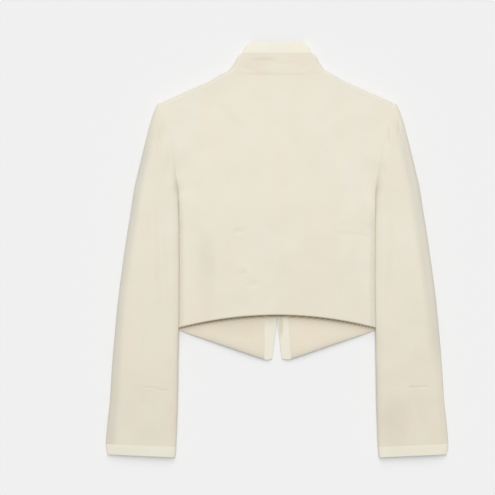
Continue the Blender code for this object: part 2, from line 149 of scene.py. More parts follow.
# Collar
COLLAR_TOP_Y = 0.3355
COLLAR_EDGING_TOP_Y = 0.3536
COLLAR_FRONT_HALF_GAP = 0.003
COLLAR_RISE = 0.0003
COLLAR_RISE_HALF_WIDTH = 0.050
COLLAR_DROP_POWER = 4
COLLAR_UPPER_SHARE = 3
NECK_ROUND = 0.013
NECK_ROUND_HEIGHT = 0.030

# Sleeves
CUFF_SEAM_Y = -0.2325
CUFF_EDGING_Y = -0.3330
CUFF_EDGING_INSET = -0.0004
SLEEVE_END_Y = -0.3505
SLEEVE_TOP_Y = 0.2485
HEAD_GAP = 0.0004
HEAD_ROWS = np.array([0.90, 0.70, 0.52, 0.37, 0.25, 0.15, 0.08])
END_SLANT = 0.045
SLANT_START_Y = -0.150
SIDE_STEP_START = 0.006
SIDE_STEP_END = 0.018
SIDE_STEP_MIDDLE = (SIDE_STEP_START + SIDE_STEP_END) / 2
UNDERARM_BLEND = 0.014
HEM_STEP_LENGTH = 0.022
ROLLED_UNDER_Y = 0.070
UNDER_FULL_LENGTH = 0.015
OUTER_REACH = 0.030
OUTER_REACH_SHARE = 0.36
WIDEST_SHARE = 0.36
LOW_BEND = 0.0150
OPEN_ROLL = math.radians(60)
TURNED_ROLL = math.radians(90)

# Cells along the stretches of each grid
BACK_COLUMNS = 176
BACK_ROWS = (66, 92, 20)
FRONT_COLUMNS = 54
FRONT_ROWS = (56, 40, 10)
FRONT_EDGING_COLUMNS = 10
SLEEVE_COUNTS = (24, 24, 40, 26, 20)
SLEEVE_ROWS_BELOW = 108
SLEEVE_ROWS_ABOVE = 96
CUFF_ROWS = 44
CUFF_EDGING_ROWS = 9
COLLAR_COUNTS = (18, 36, 70)
COLLAR_ROWS = 26
COLLAR_EDGING_ROWS = 12


def table(columns, *rows):
    """Rows with named columns."""
    row_form = namedtuple("Row", columns)
    return tuple(row_form(*values) for values in rows)


# Section tables: one row for each section, from the bottom up
ARMHOLE = table(
    "y back front back_height",
    (UNDERARM_Y, UNDERARM_HALF_WIDTH, UNDERARM_HALF_WIDTH, BACK_LEVEL),
    (0.042, 0.194, 0.194, BACK_LEVEL),
    (0.060, 0.181, 0.180, BACK_LEVEL),
    (0.080, 0.171, 0.169, BACK_LEVEL),
    (0.100, 0.1680, 0.1640, 0.0060),
    (0.125, 0.1715, 0.1630, 0.0120),
    (0.155, 0.1760, 0.1650, 0.0170),
    (0.190, 0.1825, 0.1720, 0.0168),
    (0.225, 0.1900, 0.1840, 0.0156),
    (SHOULDER_TIP_Y, SHOULDER_TIP_HALF_WIDTH, SHOULDER_TIP_HALF_WIDTH, 0.0148),
)
SHOULDER = table(
    "y half_width",
    (SHOULDER_TIP_Y, SHOULDER_TIP_HALF_WIDTH),
    (0.2750, 0.1400),
    (0.2872, 0.1125),
    (NECK_Y, SHOULDER_END_HALF_WIDTH),
)
CROWN = table(
    "y height",
    (HEM_SIDE_Y, 0.0125),
    (-0.060, 0.0130),
    (0.020, 0.0145),
    (0.120, 0.0160),
    (0.220, 0.0155),
    (NECK_Y, 0.0130),
)
SLEEVE = table(
    "y inner outer height bend roll",
    (SLEEVE_END_Y, 0.1740, 0.2890, 0.0086, 0.0120, 180),
    (-0.3340, 0.1722, 0.2915, 0.0108, 0.0120, 180),
    (-0.3000, 0.1708, 0.2890, 0.0132, 0.0130, 180),
    (-0.2560, 0.1693, 0.2842, 0.0156, 0.0140, 180),
    (-0.2100, 0.1685, 0.2814, 0.0175, 0.0140, 180),
    (-0.1540, 0.1676, 0.2770, 0.0195, 0.0150, 180),
    (-0.0860, 0.1664, 0.2704, 0.0215, 0.0150, 180),
    (-0.0180, 0.1662, 0.2615, 0.0230, 0.0150, 180),
    (UNDERARM_Y, 0.1664, 0.2548, 0.0240, 0.0150, 180),
    (ROLLED_UNDER_Y, 0.1673, 0.2480, 0.0240, 0.0150, 180),
    (0.1000, 0.1683, 0.2435, 0.0235, 0.0160, 90),
    (0.1250, 0.1720, 0.2382, 0.0222, 0.0190, 60),
    (0.1550, 0.1760, 0.2310, 0.0208, 0.0260, 38),
    (0.1900, 0.1825, 0.2225, 0.0182, 0.0300, 32),
    (0.2170, 0.1885, 0.2155, 0.0172, 0.0220, 30),
    (0.2340, 0.1920, 0.2096, 0.0166, 0.0120, 30),
    (SLEEVE_TOP_Y, 0.1950, 0.2030, 0.0158, 0.0050, 30),
)
COLLAR = table(
    "y half_width height",
    (NECK_Y, SHOULDER_END_HALF_WIDTH, 0.0138),
    (0.3020, 0.0872, 0.0134),
    (0.3060, 0.0814, 0.0130),
    (0.3120, 0.0762, 0.0125),
    (0.3190, 0.0720, 0.0120),
    (0.3260, 0.0685, 0.0115),
    (0.3310, 0.0640, 0.0110),
    (0.3360, 0.0585, 0.0105),
    (0.3460, 0.0535, 0.0095),
    (COLLAR_EDGING_TOP_Y, 0.0455, 0.0085),
)

# Creases: soft troughs, each along a line that may bow sideways; a negative depth makes a ridge
Crease = namedtuple("Crease", "x_low y_low x_high y_high bow half_width depth")


def creases(*rows):
    """Creases from rows of millimetres."""
    return tuple(Crease(*(MM * value for value in row)) for row in rows)


BACK_CREASES = creases(
    (-136, -90, -139, 50, 4, 13, 2.2),
    (-150, 90, -158, 170, 2, 11, 1.6),
    (150, -20, 156, 50, -2, 12, 1.4),
    (-118, -80, -112, 20, -3, 7, 0.8),
    (-74, 28, -58, 36, 1, 4, 0.7),
    (-64, -43, -52, -34, 1, 4, 0.7),
    (-50, -64, -34, -52, 1, 5, 0.6),
    (166, 19, 96, 28, 2, 4, 0.4),
    (120, -85, 128, 0, 4, 9, 0.9),
    (-20, -105, -10, -60, 3, 8, 0.6),
    (60, 200, 110, 255, 4, 10, 0.8),
    (-62, 205, -108, 258, -4, 10, 0.8),
)
# Along the seam between cuff and sleeve, so that both have them
CUFF_SEAM_CREASES = {
    -1: creases(
        (179, -238.5, 226, -232.5, 1, 2.2, 0.4),
        (196, -234.5, 228, -233, 0, 1.7, 0.3),
    ),
    1: creases(
        (221, -233.3, 236, -232.9, 0, 2, 0.7),
        (227, -233.1, 260, -232.1, 0, 1.9, 0.6),
    ),
}
SLEEVE_CREASES = {
    -1: creases(
        (194, -135, 204, 85, 3, 4.8, 1.2),
        (186, -110, 192, 60, 2, 4, 0.8),
        (201, -140, 213, 40, -2, 4, 0.9),
        (213, -70, 220, 70, 2, 4.5, 0.6),
        (258, -160, 238, 30, 2, 8, 0.8),
        (232, -215, 226, -120, -2, 6, 0.5),
        (193, 186, 195.5, 218, 0, 2.4, 1.6),
        (188.5, 188, 190.5, 214, 0, 2.2, 1),
        (199, 176, 200.5, 212, 1, 2.8, 1.2),
        (183, 134, 185, 174, 0, 4.5, 1.4),
        (206, 150, 205.5, 200, -1, 3.5, 0.5),
    ) + CUFF_SEAM_CREASES[-1],
    1: creases(
        (190, -90, 197, 70, -2, 4.5, 0.9),
        (198, -30, 201, 22, 1, 3.4, 0.9),
        (184, -120, 188, 0, 2, 4, 0.6),
        (258, -120, 236, 70, 3, 6, 1.2),
        (236, 70, 207, 212, 1, 4.5, 1.1),
        (238, -215, 230, -150, 2, 6, 0.5),
        (187.5, 176, 188.5, 212, 0, 2.6, 1.6),
        (204.5, 186, 206, 220, 0, 2.6, 1.8),
        (195.5, 184, 197, 214, 1, 2.6, 0.5),
        (180, 120, 182, 150, 0, 4.5, 0.6),
    ) + CUFF_SEAM_CREASES[1],
}
CUFF_CREASES = {
    -1: creases(
        (184, -300, 179, -262, 1, 4.5, 0.8),
        (214, -270, 238, -246, 2, 7, 0.4),
        (262, -325, 256, -250, 2, 8, 0.6),
    ) + CUFF_SEAM_CREASES[-1],
    1: creases(
        (250, -325, 238, -245, 2, 9, 0.6),
        (226, -310, 223, -245, 0, 4, 0.6),
        (196, -320, 192, -262, 2, 6, 0.4),
    ) + CUFF_SEAM_CREASES[1],
}
COLLAR_CREASES = creases(
    (-40.5, 324.5, -4, 325, 0.4, 2.8, 0.5),
    (-20, 317.5, 42, 316.5, 0.8, 3.5, 0.3),
    (30, 306, 64, 318, 1, 4, 0.4),
    (-70, 313, -30, 305, 1, 4, 0.4),
)
# Ridges of the cloth that lies on the floor
FRONT_RIDGES = creases(
    (60, -30, 74, 110, 4, 6, -1.6),
    (112, -70, 98, 60, 3, 7.5, -1.3),
    (135, 80, 104, 190, -4, 6.5, -1.8),
    (40, 130, 88, 215, 3, 5.5, -1.2),
    (150, 10, 138, 60, 1, 4.5, -0.8),
)
UNDER_RIDGES = creases(
    (236, -215, 228, -60, 3, 6, -1.5),
    (254, -140, 236, 20, -2, 5, -1.1),
    (216, 60, 206, 180, 2, 5.5, -1.4),
    (246, -325, 251, -250, 1, 6, -1),
    (209, -330, 213, -262, -1, 5, -0.8),
)
# The welt beside each trough: its share of the depth, and its place and width in half widths of the trough
WELT_SHARE = 0.4
WELT_OFFSET = 1.7
WELT_WIDTH = 1.4

# Rumple: long low waves, read at places that wander, keep every panel from lying dead flat
WAVE = "per_metre_x per_metre_y start height"
WAVES = table(
    WAVE,
    (9.0, 3.0, 0.4, 0.00030),
    (-5.0, 11.0, 1.9, 0.00022),
    (17.0, -8.0, 4.1, 0.00010),
    (13.0, 23.0, 2.7, 0.00006),
    (-29.0, 5.0, 0.9, 0.00005),
)
WANDER_ACROSS = table(WAVE, (1.7, 4.3, 0.8, 0.021))
WANDER_ALONG = table(WAVE, (3.4, -2.3, 2.1, 0.021))
# Sunk seams are uneven: a steady share of the tuck and waves along it
SEAM_STEADY = 0.6
SEAM_WAVES = table(WAVE, (31.0, 19.0, 0.0, 0.25), (73.0, -41.0, 1.3, 0.15))
# Where a seam sinks enough to show: its middle, its reach and its share of the tuck
SeamShow = namedtuple("SeamShow", "middle reach share")
CUFF_SEAM_SHOWS = {-1: SeamShow(0.203, 0.024, 0.50), 1: SeamShow(0.240, 0.018, 0.30)}
NECK_SEAM_SHOWS = SeamShow(-0.002, 0.046, 0.25)

# Tone, which carries painted shade: 0 is the cloth's own colour and 1 that of a deep fold in shade; it
# deepens towards the cuffs as a painted fall-off of the light, and in soft patches
TONE = table(
    "y tone",
    (SLEEVE_END_Y, 0.36),
    (-0.285, 0.40),
    (-0.166, 0.27),
    (-0.020, 0.12),
    (0.100, 0.02),
    (0.280, 0.00),
    (COLLAR_EDGING_TOP_Y, 0.08),
)
# What is added to the tone; creases add painted shade for each metre of their depth
CREASE_TONE = 90.0
INSIDE_TONE = -0.2
CUFF_EDGING_TONE = -0.16
SLEEVE_HEAD_TONE = 0.18
HEAD_TONE_REACH = 0.018
COLLAR_TONE = 0.16
# Painted shadow on the fronts under the back's hem, and painted shade on the hem's own rolled edge
HEM_SHADE = 3.0
HEM_SHADE_REACH = 0.0027
HEM_EDGE_SHADE = 1.3
Patch = namedtuple("Patch", "x y reach_x reach_y amount")


def soft_patches(*rows):
    """Patches from rows of millimetres, each with its amount."""
    return tuple(Patch(*(MM * value for value in row[:-1]), row[-1]) for row in rows)


# Patches of painted shade: in folds on the back, in the collar's crease, along the neck and cuff seams,
# beside the left armhole and under the back's hem on the left front; one is a darker patch on the right cuff
PATCHES = soft_patches(
    (-122, -40, 17, 60, 0.24),
    (-67, 33, 9, 5, 0.12),
    (-59, -38, 8, 6, 0.14),
    (-42, -57, 11, 5, 0.12),
    (201, -293, 24, 44, 0.26),
    (-22, 324, 20, 3.6, 0.38),
    (-22, 301, 24, 3.2, 0.22),
    (26, 299, 22, 2, 0.14),
    (-176, 170, 6, 20, 0.14),
    (-204, -237.2, 24, 2.2, 0.22),
    (232, -233.5, 16, 2.6, 0.20),
    (-62, -132, 44, 16, 0.24),
)
# Painted shadow on the front bands: under the back's hem and on the right band's inner side
EDGING_PATCHES = soft_patches(
    (6.5, -130, 4, 18, 0.9),
    (-11, -119, 13, 8, 0.3),
)

# Painted grey shade along the fronts' lower edge: a wide bell and a narrow one, weaker towards the side seams
EDGE_SHADES = table("amount reach", (0.65, 0.0130), (1.2, 0.0042))
FRONT_SHADE_FADE = 0.080
FRONT_SHADE_LEFT = 0.35
# Painted grey shade along the sleeves' folded edges, and painted light beside the inner fold where the amount
# is negative: how wide and how deep
FoldShade = namedtuple("FoldShade", "outer_width outer inner_width inner")
SLEEVE_FOLD_SHADE = {-1: FoldShade(0.018, 0.95, 0.008, -0.55), 1: FoldShade(0.026, 0.85, 0.010, -0.75)}
CUFF_FOLD_SHADE = {-1: FoldShade(0.021, 0.95, 0.014, 0.15), 1: FoldShade(0.016, 0.22, 0.012, 0.12)}
FOLD_PLATEAU = 1.8
FOLD_SHADE_FADE = 0.080
CUFF_SHADE_FADE = 0.100
# Painted grey shade in the valleys beside the sleeves, and on rounded rims
ValleyShade = namedtuple("ValleyShade", "out half_width amount")
VALLEY_SHADE = {-1: ValleyShade(0.1618, 0.0030, 0.6), 1: ValleyShade(0.1620, 0.0044, 0.8)}
VALLEY_FADE = 0.040
RIM_SHADE = 0.42
RIM_REACH = 0.010

# Colour: the range of the tone, and the shares of red, green and blue that a tone of 1, a shade of 1
# and the stripes take away; tone and shade carry painted shade
LIGHTEST_TONE = -0.2
DARKEST_TONE = 3.2
DARK_SHARE = (0.172, 0.203, 0.252)
SHADE_SHARE = (0.118, 0.106, 0.080)
HUE_SHARE = (0.010, -0.006, -0.020)
WHITE = (1.0, 1.0, 1.0)
# Noise in the finishes: how it is stretched, how fine and how rough it is
Noise = namedtuple("Noise", "stretch scale detail")
WARP_SLUBS = Noise((1.0, 0.05, 1.0), 900.0, 2.0)
WEFT_SLUBS = Noise((0.04, 1.0, 1.0), 800.0, 2.0)
MOTTLE = Noise((1.0, 1.0, 1.0), 22.0, 3.0)
STRIPES = Noise((1.0, 0.28, 1.0), 34.0, 1.5)
THREAD_SPOTS = Noise((1.0, 1.0, 1.0), 260.0, 2.0)
MOTTLE_TONE = 0.22
SLUB_TONE = 0.12
STRIPE_CONTRAST = 2.4
DARKEST_THREAD = 0.10
LIGHTEST_THREAD = -0.08
# Bump of the weave: ribs on the diagonal, with twice as many low rungs across them
RIB_HEIGHT = 0.19
RUNG_SHARE = 0.4
BUMP_STRENGTH = 0.35
BUMP_HEIGHT = 0.0004
# Which finish each kind of cloth has, and how strong its slubs are
Finish = namedtuple("Finish", "name colour slub")
FINISHES = {
    "main_cloth": Finish("cream_cloth", "main", 0.6),
    "front_cloth": Finish("inside_cloth", "inside", 0.6),
    "edging_cloth": Finish("light_edging", "edging", 0.3),
}

# Stage: a row of lamps from overhead towards the collar's side, each with a share of the light
LAMPS = table("tilt share", (4, 0.36), (20, 0.24), (40, 0.22), (59, 0.18))
LAMP_HEIGHT = 2.0
FLOOR_REACH = 4.0
FLOOR_CORNERS = ((-1, -1), (1, -1), (1, 1), (-1, 1))
FAR_CLIP = 100.0


def length_property(name, description, default, precision=4):
    """A length in the scene's units."""
    return bpy.props.FloatProperty(
        name=name, description=description, default=default, unit="LENGTH", precision=precision)


def colour_property(name, description, default):
    """A linear colour."""
    return bpy.props.FloatVectorProperty(name=name, description=description, default=default, subtype="COLOR")


class JacketSizes(bpy.types.PropertyGroup):
    """Sizes of the cloth and the sewing."""

    cloth: length_property("Cloth", "Thickness of the main cloth", CLOTH)
    collar_cloth: length_property("Collar cloth", "Thickness of the collar", 0.0020)
    edging_cloth: length_property("Edging cloth", "Thickness of the light bands", 0.0014)
    thread_pitch: length_property("Weave", "Spacing of the twill's ribs along a thread", 0.0011)
    stitch_length: length_property("Stitch", "Length of one stitch", 0.0024)
    stitch_pitch: length_property("Stitch pitch", "Distance from one stitch to the next", 0.0031)
    thread_radius: length_property("Thread", "Radius of the sewing thread", 0.00022, 5)


class JacketColours(bpy.types.PropertyGroup):
    """Colours of the cloth, the thread and the floor, linear RGB."""

    main: colour_property("Cloth", "Back, sleeves and collar", (0.768, 0.721, 0.607))
    inside: colour_property("Inside", "Inside face of the fronts", (0.742, 0.675, 0.546))
    edging: colour_property("Edging", "Light bands", (0.803, 0.772, 0.659))
    thread: colour_property("Thread", "Sewing thread", (0.760, 0.725, 0.600))
    floor: colour_property("Floor", "Pale floor", (0.800, 0.800, 0.800))


class JacketStage(bpy.types.PropertyGroup):
    """Light and camera."""

    sky: bpy.props.FloatProperty(name="Sky", description="Strength of the even light", default=0.40)
    key: bpy.props.FloatProperty(
        name="Key", description="Strength of the lamps above the collar's side", default=2.565)
    key_spread: bpy.props.FloatProperty(
        name="Key spread", description="Apparent size of each lamp", default=math.radians(24),
        subtype="ANGLE")
    lens: bpy.props.FloatProperty(name="Lens", description="Focal length in millimetres", default=150.0)
    sight_width: length_property("Sight", "Width that the picture shows", 0.8415)
    sight_x: length_property("Sight X", "Middle of the picture", -0.0503)
    sight_y: length_property("Sight Y", "Middle of the picture", 0.0043)
    sight_z: length_property("Sight Z", "Height at which the width is measured", 0.010)


def smooth_through(xs, ys, at):
    """A cubic through the points (xs, ys), with harmonic-mean slopes so that it never overshoots them."""
    xs = np.asarray(xs, float)
    ys = np.asarray(ys, float)
    at = np.clip(np.asarray(at, float), xs[0], xs[-1])
    steps = np.diff(xs)
    slopes = np.diff(ys) / steps
    tangents = np.empty_like(ys)
    tangents[0] = slopes[0]
    tangents[-1] = slopes[-1]
    same_way = slopes[:-1] * slopes[1:] > 0
    total = np.where(same_way, slopes[:-1] + slopes[1:], 1.0)
    tangents[1:-1] = np.where(same_way, 2 * slopes[:-1] * slopes[1:] / total, 0.0)
    span = np.clip(np.searchsorted(xs, at, side="right") - 1, 0, len(steps) - 1)
    t = (at - xs[span]) / steps[span]
    start = (1 + 2 * t) * (1 - t) ** 2 * ys[span] + t * (1 - t) ** 2 * steps[span] * tangents[span]
    end = t * t * (3 - 2 * t) * ys[span + 1] + t * t * (t - 1) * steps[span] * tangents[span + 1]
    return start + end


def column(rows, name, y):
    """One column of a section table, read at y."""
    return smooth_through([row.y for row in rows], [getattr(row, name) for row in rows], y)


def held(t):
    """A share kept between 0 and 1."""
    return np.clip(t, 0, 1)


def eased(t):
    """Goes from 0 to 1 as 3t2 - 2t3, with a soft start and end."""
    t = held(t)
    return t * t * (3 - 2 * t)


def eased_between(at, start, end):
    """Goes from 0 at start to 1 at end, with the same soft start and end."""
    return eased((at - start) / (end - start))


def quarter_round(t):
    """Rises from 0 to 1 as a quarter circle, the root of 1 - (1 - t)2."""
    return np.sqrt(1 - (1 - held(t)) ** 2)


def bell(away):
    """Falls off to both sides of 0 as exp(-a2)."""
    return np.exp(-(away ** 2))


def mixed(start, end, t):
    """A straight run from start (t = 0) to end (t = 1)."""
    return start + (end - start) * t


def crease_depth(troughs, x, y):
    """Sum of troughs: a bell across each one's line times a half sine along it, less a low welt beside it.

    At t along its run, a line lies 4t(1 - t) of its bow aside.
    """
    sink = np.zeros(np.broadcast(x, y).shape)
    for crease in troughs:
        start = np.array([crease.x_low, crease.y_low])
        run = np.array([crease.x_high, crease.y_high]) - start
        length = np.hypot(*run)
        ahead = run / length
        along = ((x - start[0]) * ahead[0] + (y - start[1]) * ahead[1]) / length
        aside = (x - start[0]) * ahead[1] - (y - start[1]) * ahead[0]
        t = held(along)
        away = (aside - crease.bow * 4 * t * (1 - t)) / crease.half_width
        welt = WELT_SHARE * bell((away - WELT_OFFSET) / WELT_WIDTH)
        fade = np.where((along > 0) & (along < 1), np.sin(np.pi * t), 0.0)
        sink = sink + crease.depth * (bell(away) - welt) * fade
    return sink


def ridge_height(ridges, x, y):
    """The same form upwards, with its low side cut off at the floor."""
    return np.clip(-crease_depth(ridges, x, y), 0, None)


def wave_sum(waves, x, y):
    """Sum of waves, each its height times the sine of its turns across x and y."""
    rise = np.zeros(np.broadcast(x, y).shape)
    for wave in waves:
        turns = wave.per_metre_x * x + wave.per_metre_y * y
        rise = rise + wave.height * np.sin(2 * np.pi * turns + wave.start)
    return rise


def rumple(x, y):
    """Long low waves, read at places that slower waves shift."""
    return wave_sum(WAVES, x + wave_sum(WANDER_ACROSS, x, y), y + wave_sum(WANDER_ALONG, x, y))


def tone(middle, patches=PATCHES, troughs=()):
    """Painted fall-off read at each point's y, painted crease shade from their depth, and patches as exp(-d4)
    at d reaches.
    """
    x, y = middle[..., 0], middle[..., 1]
    dark = column(TONE, "tone", y) + CREASE_TONE * np.clip(crease_depth(troughs, np.abs(x), y), 0, None)
    for patch in patches:
        far = ((x - patch.x) / patch.reach_x) ** 2 + ((y - patch.y) / patch.reach_y) ** 2
        dark = dark + patch.amount * bell(far)
    return dark


def with_edges(start, end, count, start_round, end_round):
    """Even steps from start to end, with four more close to each end for the rounded cloth edge."""
    inside = np.linspace(start, end, count + 1)[1:-1]
    clear_start = inside - start > NEAR_EDGE_CLEAR * start_round
    clear_end = end - inside > NEAR_EDGE_CLEAR * end_round
    near_end = end - NEAR_EDGE[::-1] * end_round
    return np.concatenate(
        [[start], start + NEAR_EDGE * start_round, inside[clear_start & clear_end], near_end, [end]])


def walked_lengths(middle):
    """Lengths walked along each row from its first point, and along each column from its lowest."""
    out = np.linalg.norm(np.diff(middle, axis=1), axis=-1).cumsum(axis=1)
    up = np.linalg.norm(np.diff(middle, axis=0), axis=-1).cumsum(axis=0)
    return np.pad(out, ((0, 0), (1, 0))), np.pad(up, ((1, 0), (0, 0)))


def fullness(out, up, rounds, closed_rows):
    """Share of the full thickness: 1 inside, and a quarter round down to 0 at each edge."""
    low, high, start, end = rounds
    along = np.minimum(up / low, (up[-1:] - up) / high)
    across = np.minimum(out / start, (out[:, -1:] - out) / end)
    across[:closed_rows] = 1.0
    if 0 < closed_rows < len(out):
        across[closed_rows - 1, [0, -1]] = 0.0
    return quarter_round(np.minimum(along, across))


def tucked(middle, normals, out, up, tucks):
    """Sinks the chosen edges under their neighbours: (1 - d / reach)2 of the tuck, uneven along the seam."""
    low, high, start, end = tucks
    sides = ((up, low), (up[-1:] - up, high), (out, start), (out[:, -1:] - out, end))
    sink = np.max([share * held(1 - walked / TUCK_REACH) ** 2 for walked, share in sides], axis=0)
    uneven = SEAM_STEADY + wave_sum(SEAM_WAVES, middle[..., 0], middle[..., 1])
    return middle - normals * (TUCK * sink * uneven)[..., None]


def surface_normals(middle, closed_rows=0):
    """Unit normals: the step along the row crossed with the step along the column."""
    normal = np.cross(np.gradient(middle, axis=1), np.gradient(middle, axis=0))
    joined = normal[:closed_rows, 0] + normal[:closed_rows, -1]
    normal[:closed_rows, 0] = joined
    normal[:closed_rows, -1] = joined
    return normal / np.linalg.norm(normal, axis=-1, keepdims=True)


def cell_corners(numbers):
    """The four corners of every cell of a grid, in turning order."""
    corners = [numbers[:-1, :-1], numbers[:-1, 1:], numbers[1:, 1:], numbers[1:, :-1]]
    return np.stack(corners, axis=-1).reshape(-1, 4)


def mesh_piece(name, points, faces, finish):
    """An object at the origin from points and four-sided faces, smooth shaded, on the jacket's body."""
    mesh = bpy.data.meshes.new(name)
    mesh.vertices.add(len(points))
    mesh.vertices.foreach_set("co", points.astype(np.float32).ravel())
    mesh.loops.add(faces.size)
    mesh.loops.foreach_set("vertex_index", faces.astype(np.int32).ravel())
    mesh.polygons.add(len(faces))
    mesh.polygons.foreach_set("loop_start", np.arange(0, faces.size, 4, dtype=np.int32))
    mesh.update(calc_edges=True)
    mesh.shade_smooth()
    mesh.materials.append(finish)
    piece = bpy.data.objects.new(name, mesh)
    bpy.context.scene.collection.objects.link(piece)
    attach(piece, BODY)
    return piece


def lay_cloth(node, slot, middle, thickness, rounds, dark,
              shade=0.0, closed_rows=0, tucks=(0, 0, 0, 0)):
    """A closed shell about a grid: both faces lie half the thickness from it and meet at its rounded edges.

    It stands for one solid, whose part it hides. The rounds and tucks are those of the
    lowest row, the highest row, the first column and the last column. The first closed_rows rows are rings,
    whose last point is their first.
    """
    row_count, column_count = middle.shape[:2]
    out, up = walked_lengths(middle)
    full = fullness(out, up, rounds, closed_rows)
    normals = surface_normals(middle, closed_rows)
    settled = tucked(middle, normals, out, up, tucks)
    offset = normals * (thickness / 2 * full)[..., None]
    points = np.concatenate([(settled + offset).reshape(-1, 3), (settled - offset).reshape(-1, 3)])
    plain = np.arange(row_count * column_count).reshape(row_count, column_count)
    outer = plain.copy()
    outer[:closed_rows, -1] = outer[:closed_rows, 0]
    inner = np.where(full > 0, outer + plain.size, outer)
    faces = np.concatenate([cell_corners(outer), cell_corners(inner)[:, ::-1]])
    used, faces = np.unique(faces, return_inverse=True)
    ending = "band" if slot == "edging_cloth" else "cloth"
    piece = mesh_piece(f"{node}_{ending}", points[used], faces.reshape(-1, 4), finish_of(slot))
    grid_corners = cell_corners(plain)
    weave = np.stack([out - out[:, column_count // 2, None], up], axis=-1).reshape(-1, 2)
    weave = np.concatenate([weave[grid_corners], weave[grid_corners[:, ::-1]]])
    layer = piece.data.uv_layers.new(name="cloth")
    layer.data.foreach_set("uv", weave.astype(np.float32).ravel())
    # Each point carries its tone with painted shade and shadow, and its painted grey shade
    for title, grid in (("tone_and_painted_shade", dark), ("shade", shade)):
        values = np.broadcast_to(grid, plain.shape).ravel()
        attribute = piece.data.attributes.new(title, "FLOAT", "POINT")
        attribute.data.foreach_set("value", np.concatenate([values, values])[used].astype(np.float32))
    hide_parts(node)


def side_half_width(y):
    """The side seam: a power curve from the hem's corner out to the underarm."""
    t = (y - HEM_SIDE_Y) / (UNDERARM_Y - HEM_SIDE_Y)
    return mixed(HEM_HALF_WIDTH, UNDERARM_HALF_WIDTH, held(t) ** SIDE_CURVE)


def shoulder_seam_y(x):
    """The shoulder seam's height at a distance from the middle, carried on past the neck."""
    outward = SHOULDER[::-1]
    seam = smooth_through([row.half_width for row in outward], [row.y for row in outward], np.abs(x))
    return seam + SHOULDER_SLOPE * np.clip(SHOULDER_END_HALF_WIDTH - np.abs(x), 0, None)


def panel_half_width(y, armhole_column):
    """A panel's outer edge: side seam, armhole, then shoulder."""
    below = np.where(y < UNDERARM_Y, side_half_width(y), column(ARMHOLE, armhole_column, y))
    return np.where(y > SHOULDER_TIP_Y, column(SHOULDER, "half_width", y), below)


def body_rows(side_count, armhole_count, shoulder_count):
    """Section heights of a body panel, with one at the underarm and one at the shoulder's tip."""
    low = HEM_SIDE_Y + np.sort(np.concatenate([NEAR_EDGE * FOLD_ROUND, HEM_ROLL_ROWS]))
    side = np.linspace(HEM_SIDE_Y, UNDERARM_Y, side_count + 1)[1:]
    side = side[side > low[-1]]
    armhole = np.linspace(UNDERARM_Y, SHOULDER_TIP_Y, armhole_count + 1)[1:]
    shoulder = np.linspace(SHOULDER_TIP_Y, NECK_Y, shoulder_count + 1)[1:-1]
    high = NECK_Y - NEAR_EDGE[::-1] * SEAM_ROUND
    return np.concatenate([[HEM_SIDE_Y], low, side, armhole, shoulder, high, [NECK_Y]])[:, None]


def hem_share(rows):
    """How far a row takes part in the hem's shape: 1 at the hem, and straight down to 0 above it."""
    return held((HEM_SIDE_Y + SHAPED_HEM_HEIGHT - rows) / SHAPED_HEM_HEIGHT)


def armhole_level(y):
    """The back's height along its edge: flat at the side, its table up the armhole, then the crown."""
    level = np.where(y < UNDERARM_Y, BACK_LEVEL, column(ARMHOLE, "back_height", y))
    filled = eased_between(y, SHOULDER_FILL_Y, SHOULDER_TIP_Y)
    return mixed(level, column(CROWN, "height", y), filled)


def shoulder_inside(x, y):
    """Distance from the shoulder seam, square to its slope."""
    return (shoulder_seam_y(x) - y) / math.hypot(1, SHOULDER_SLOPE)


def shoulder_share(x, y):
    """Share of the height that is left near the shoulder seam: a quarter round."""
    return quarter_round(shoulder_inside(x, y) / SHOULDER_ROUND)


def back_height(x, y):
    """Pressed at the sides, crowned between, a quarter round at the shoulders, with creases and rumple."""
    seam = panel_half_width(y, "back")
    free = eased_between(y, PRESSED_FADE_Y, PRESSED_TOP_Y)
    edge = np.minimum(seam, mixed(np.where(x < 0, PRESSED_LEFT, PRESSED_RIGHT), seam, free))
    inward = edge - np.abs(x)
    beside_sleeve = quarter_round(inward / PRESSED_REACH)
    softened = eased_between(y, PRESSED_FADE_Y, SOFTENED_TOP_Y)
    crowned = mixed(beside_sleeve, eased(inward / CROWN_REACH), softened)
    height = mixed(armhole_level(y), column(CROWN, "height", y), crowned)
    lofted = (height - BACK_LEVEL) * shoulder_share(x, y)
    uneven = rumple(x, y) - crease_depth(BACK_CREASES, x, y)
    return BACK_LEVEL + lofted + uneven * eased(lofted / FOLDED_LOFT)


def back_surface():
    """Rows from side to side, the lower ones lifted as a parabola towards the middle of the hem.

    The hem itself rolls under as a quarter circle.
    """
    seam_share = SEAM_ROUND / UNDERARM_HALF_WIDTH
    s = with_edges(-1.0, 1.0, BACK_COLUMNS, seam_share, seam_share)[None, :]
    rows = body_rows(*BACK_ROWS)
    x = s * panel_half_width(rows, "back")
    inside = held((rows - HEM_SIDE_Y) / HEM_ROLL)
    rolled = HEM_ROLL * (1 - quarter_round(inside))
    y = rows + HEM_RISE * (1 - s ** 2) * hem_share(rows) + HEM_SET_BACK * (1 - inside)
    height = back_height(x, y)
    return np.stack([x, y, height - rolled * eased((height - BACK_LEVEL) / FOLDED_LOFT)], axis=-1)


def back_tone(middle):
    """The cloth's tone, with painted shade where the hem rolls under, by the square of the way down."""
    rolled = held(1 - (body_rows(*BACK_ROWS) - HEM_SIDE_Y) / HEM_ROLL)
    return tone(middle) + HEM_EDGE_SHADE * rolled ** 2


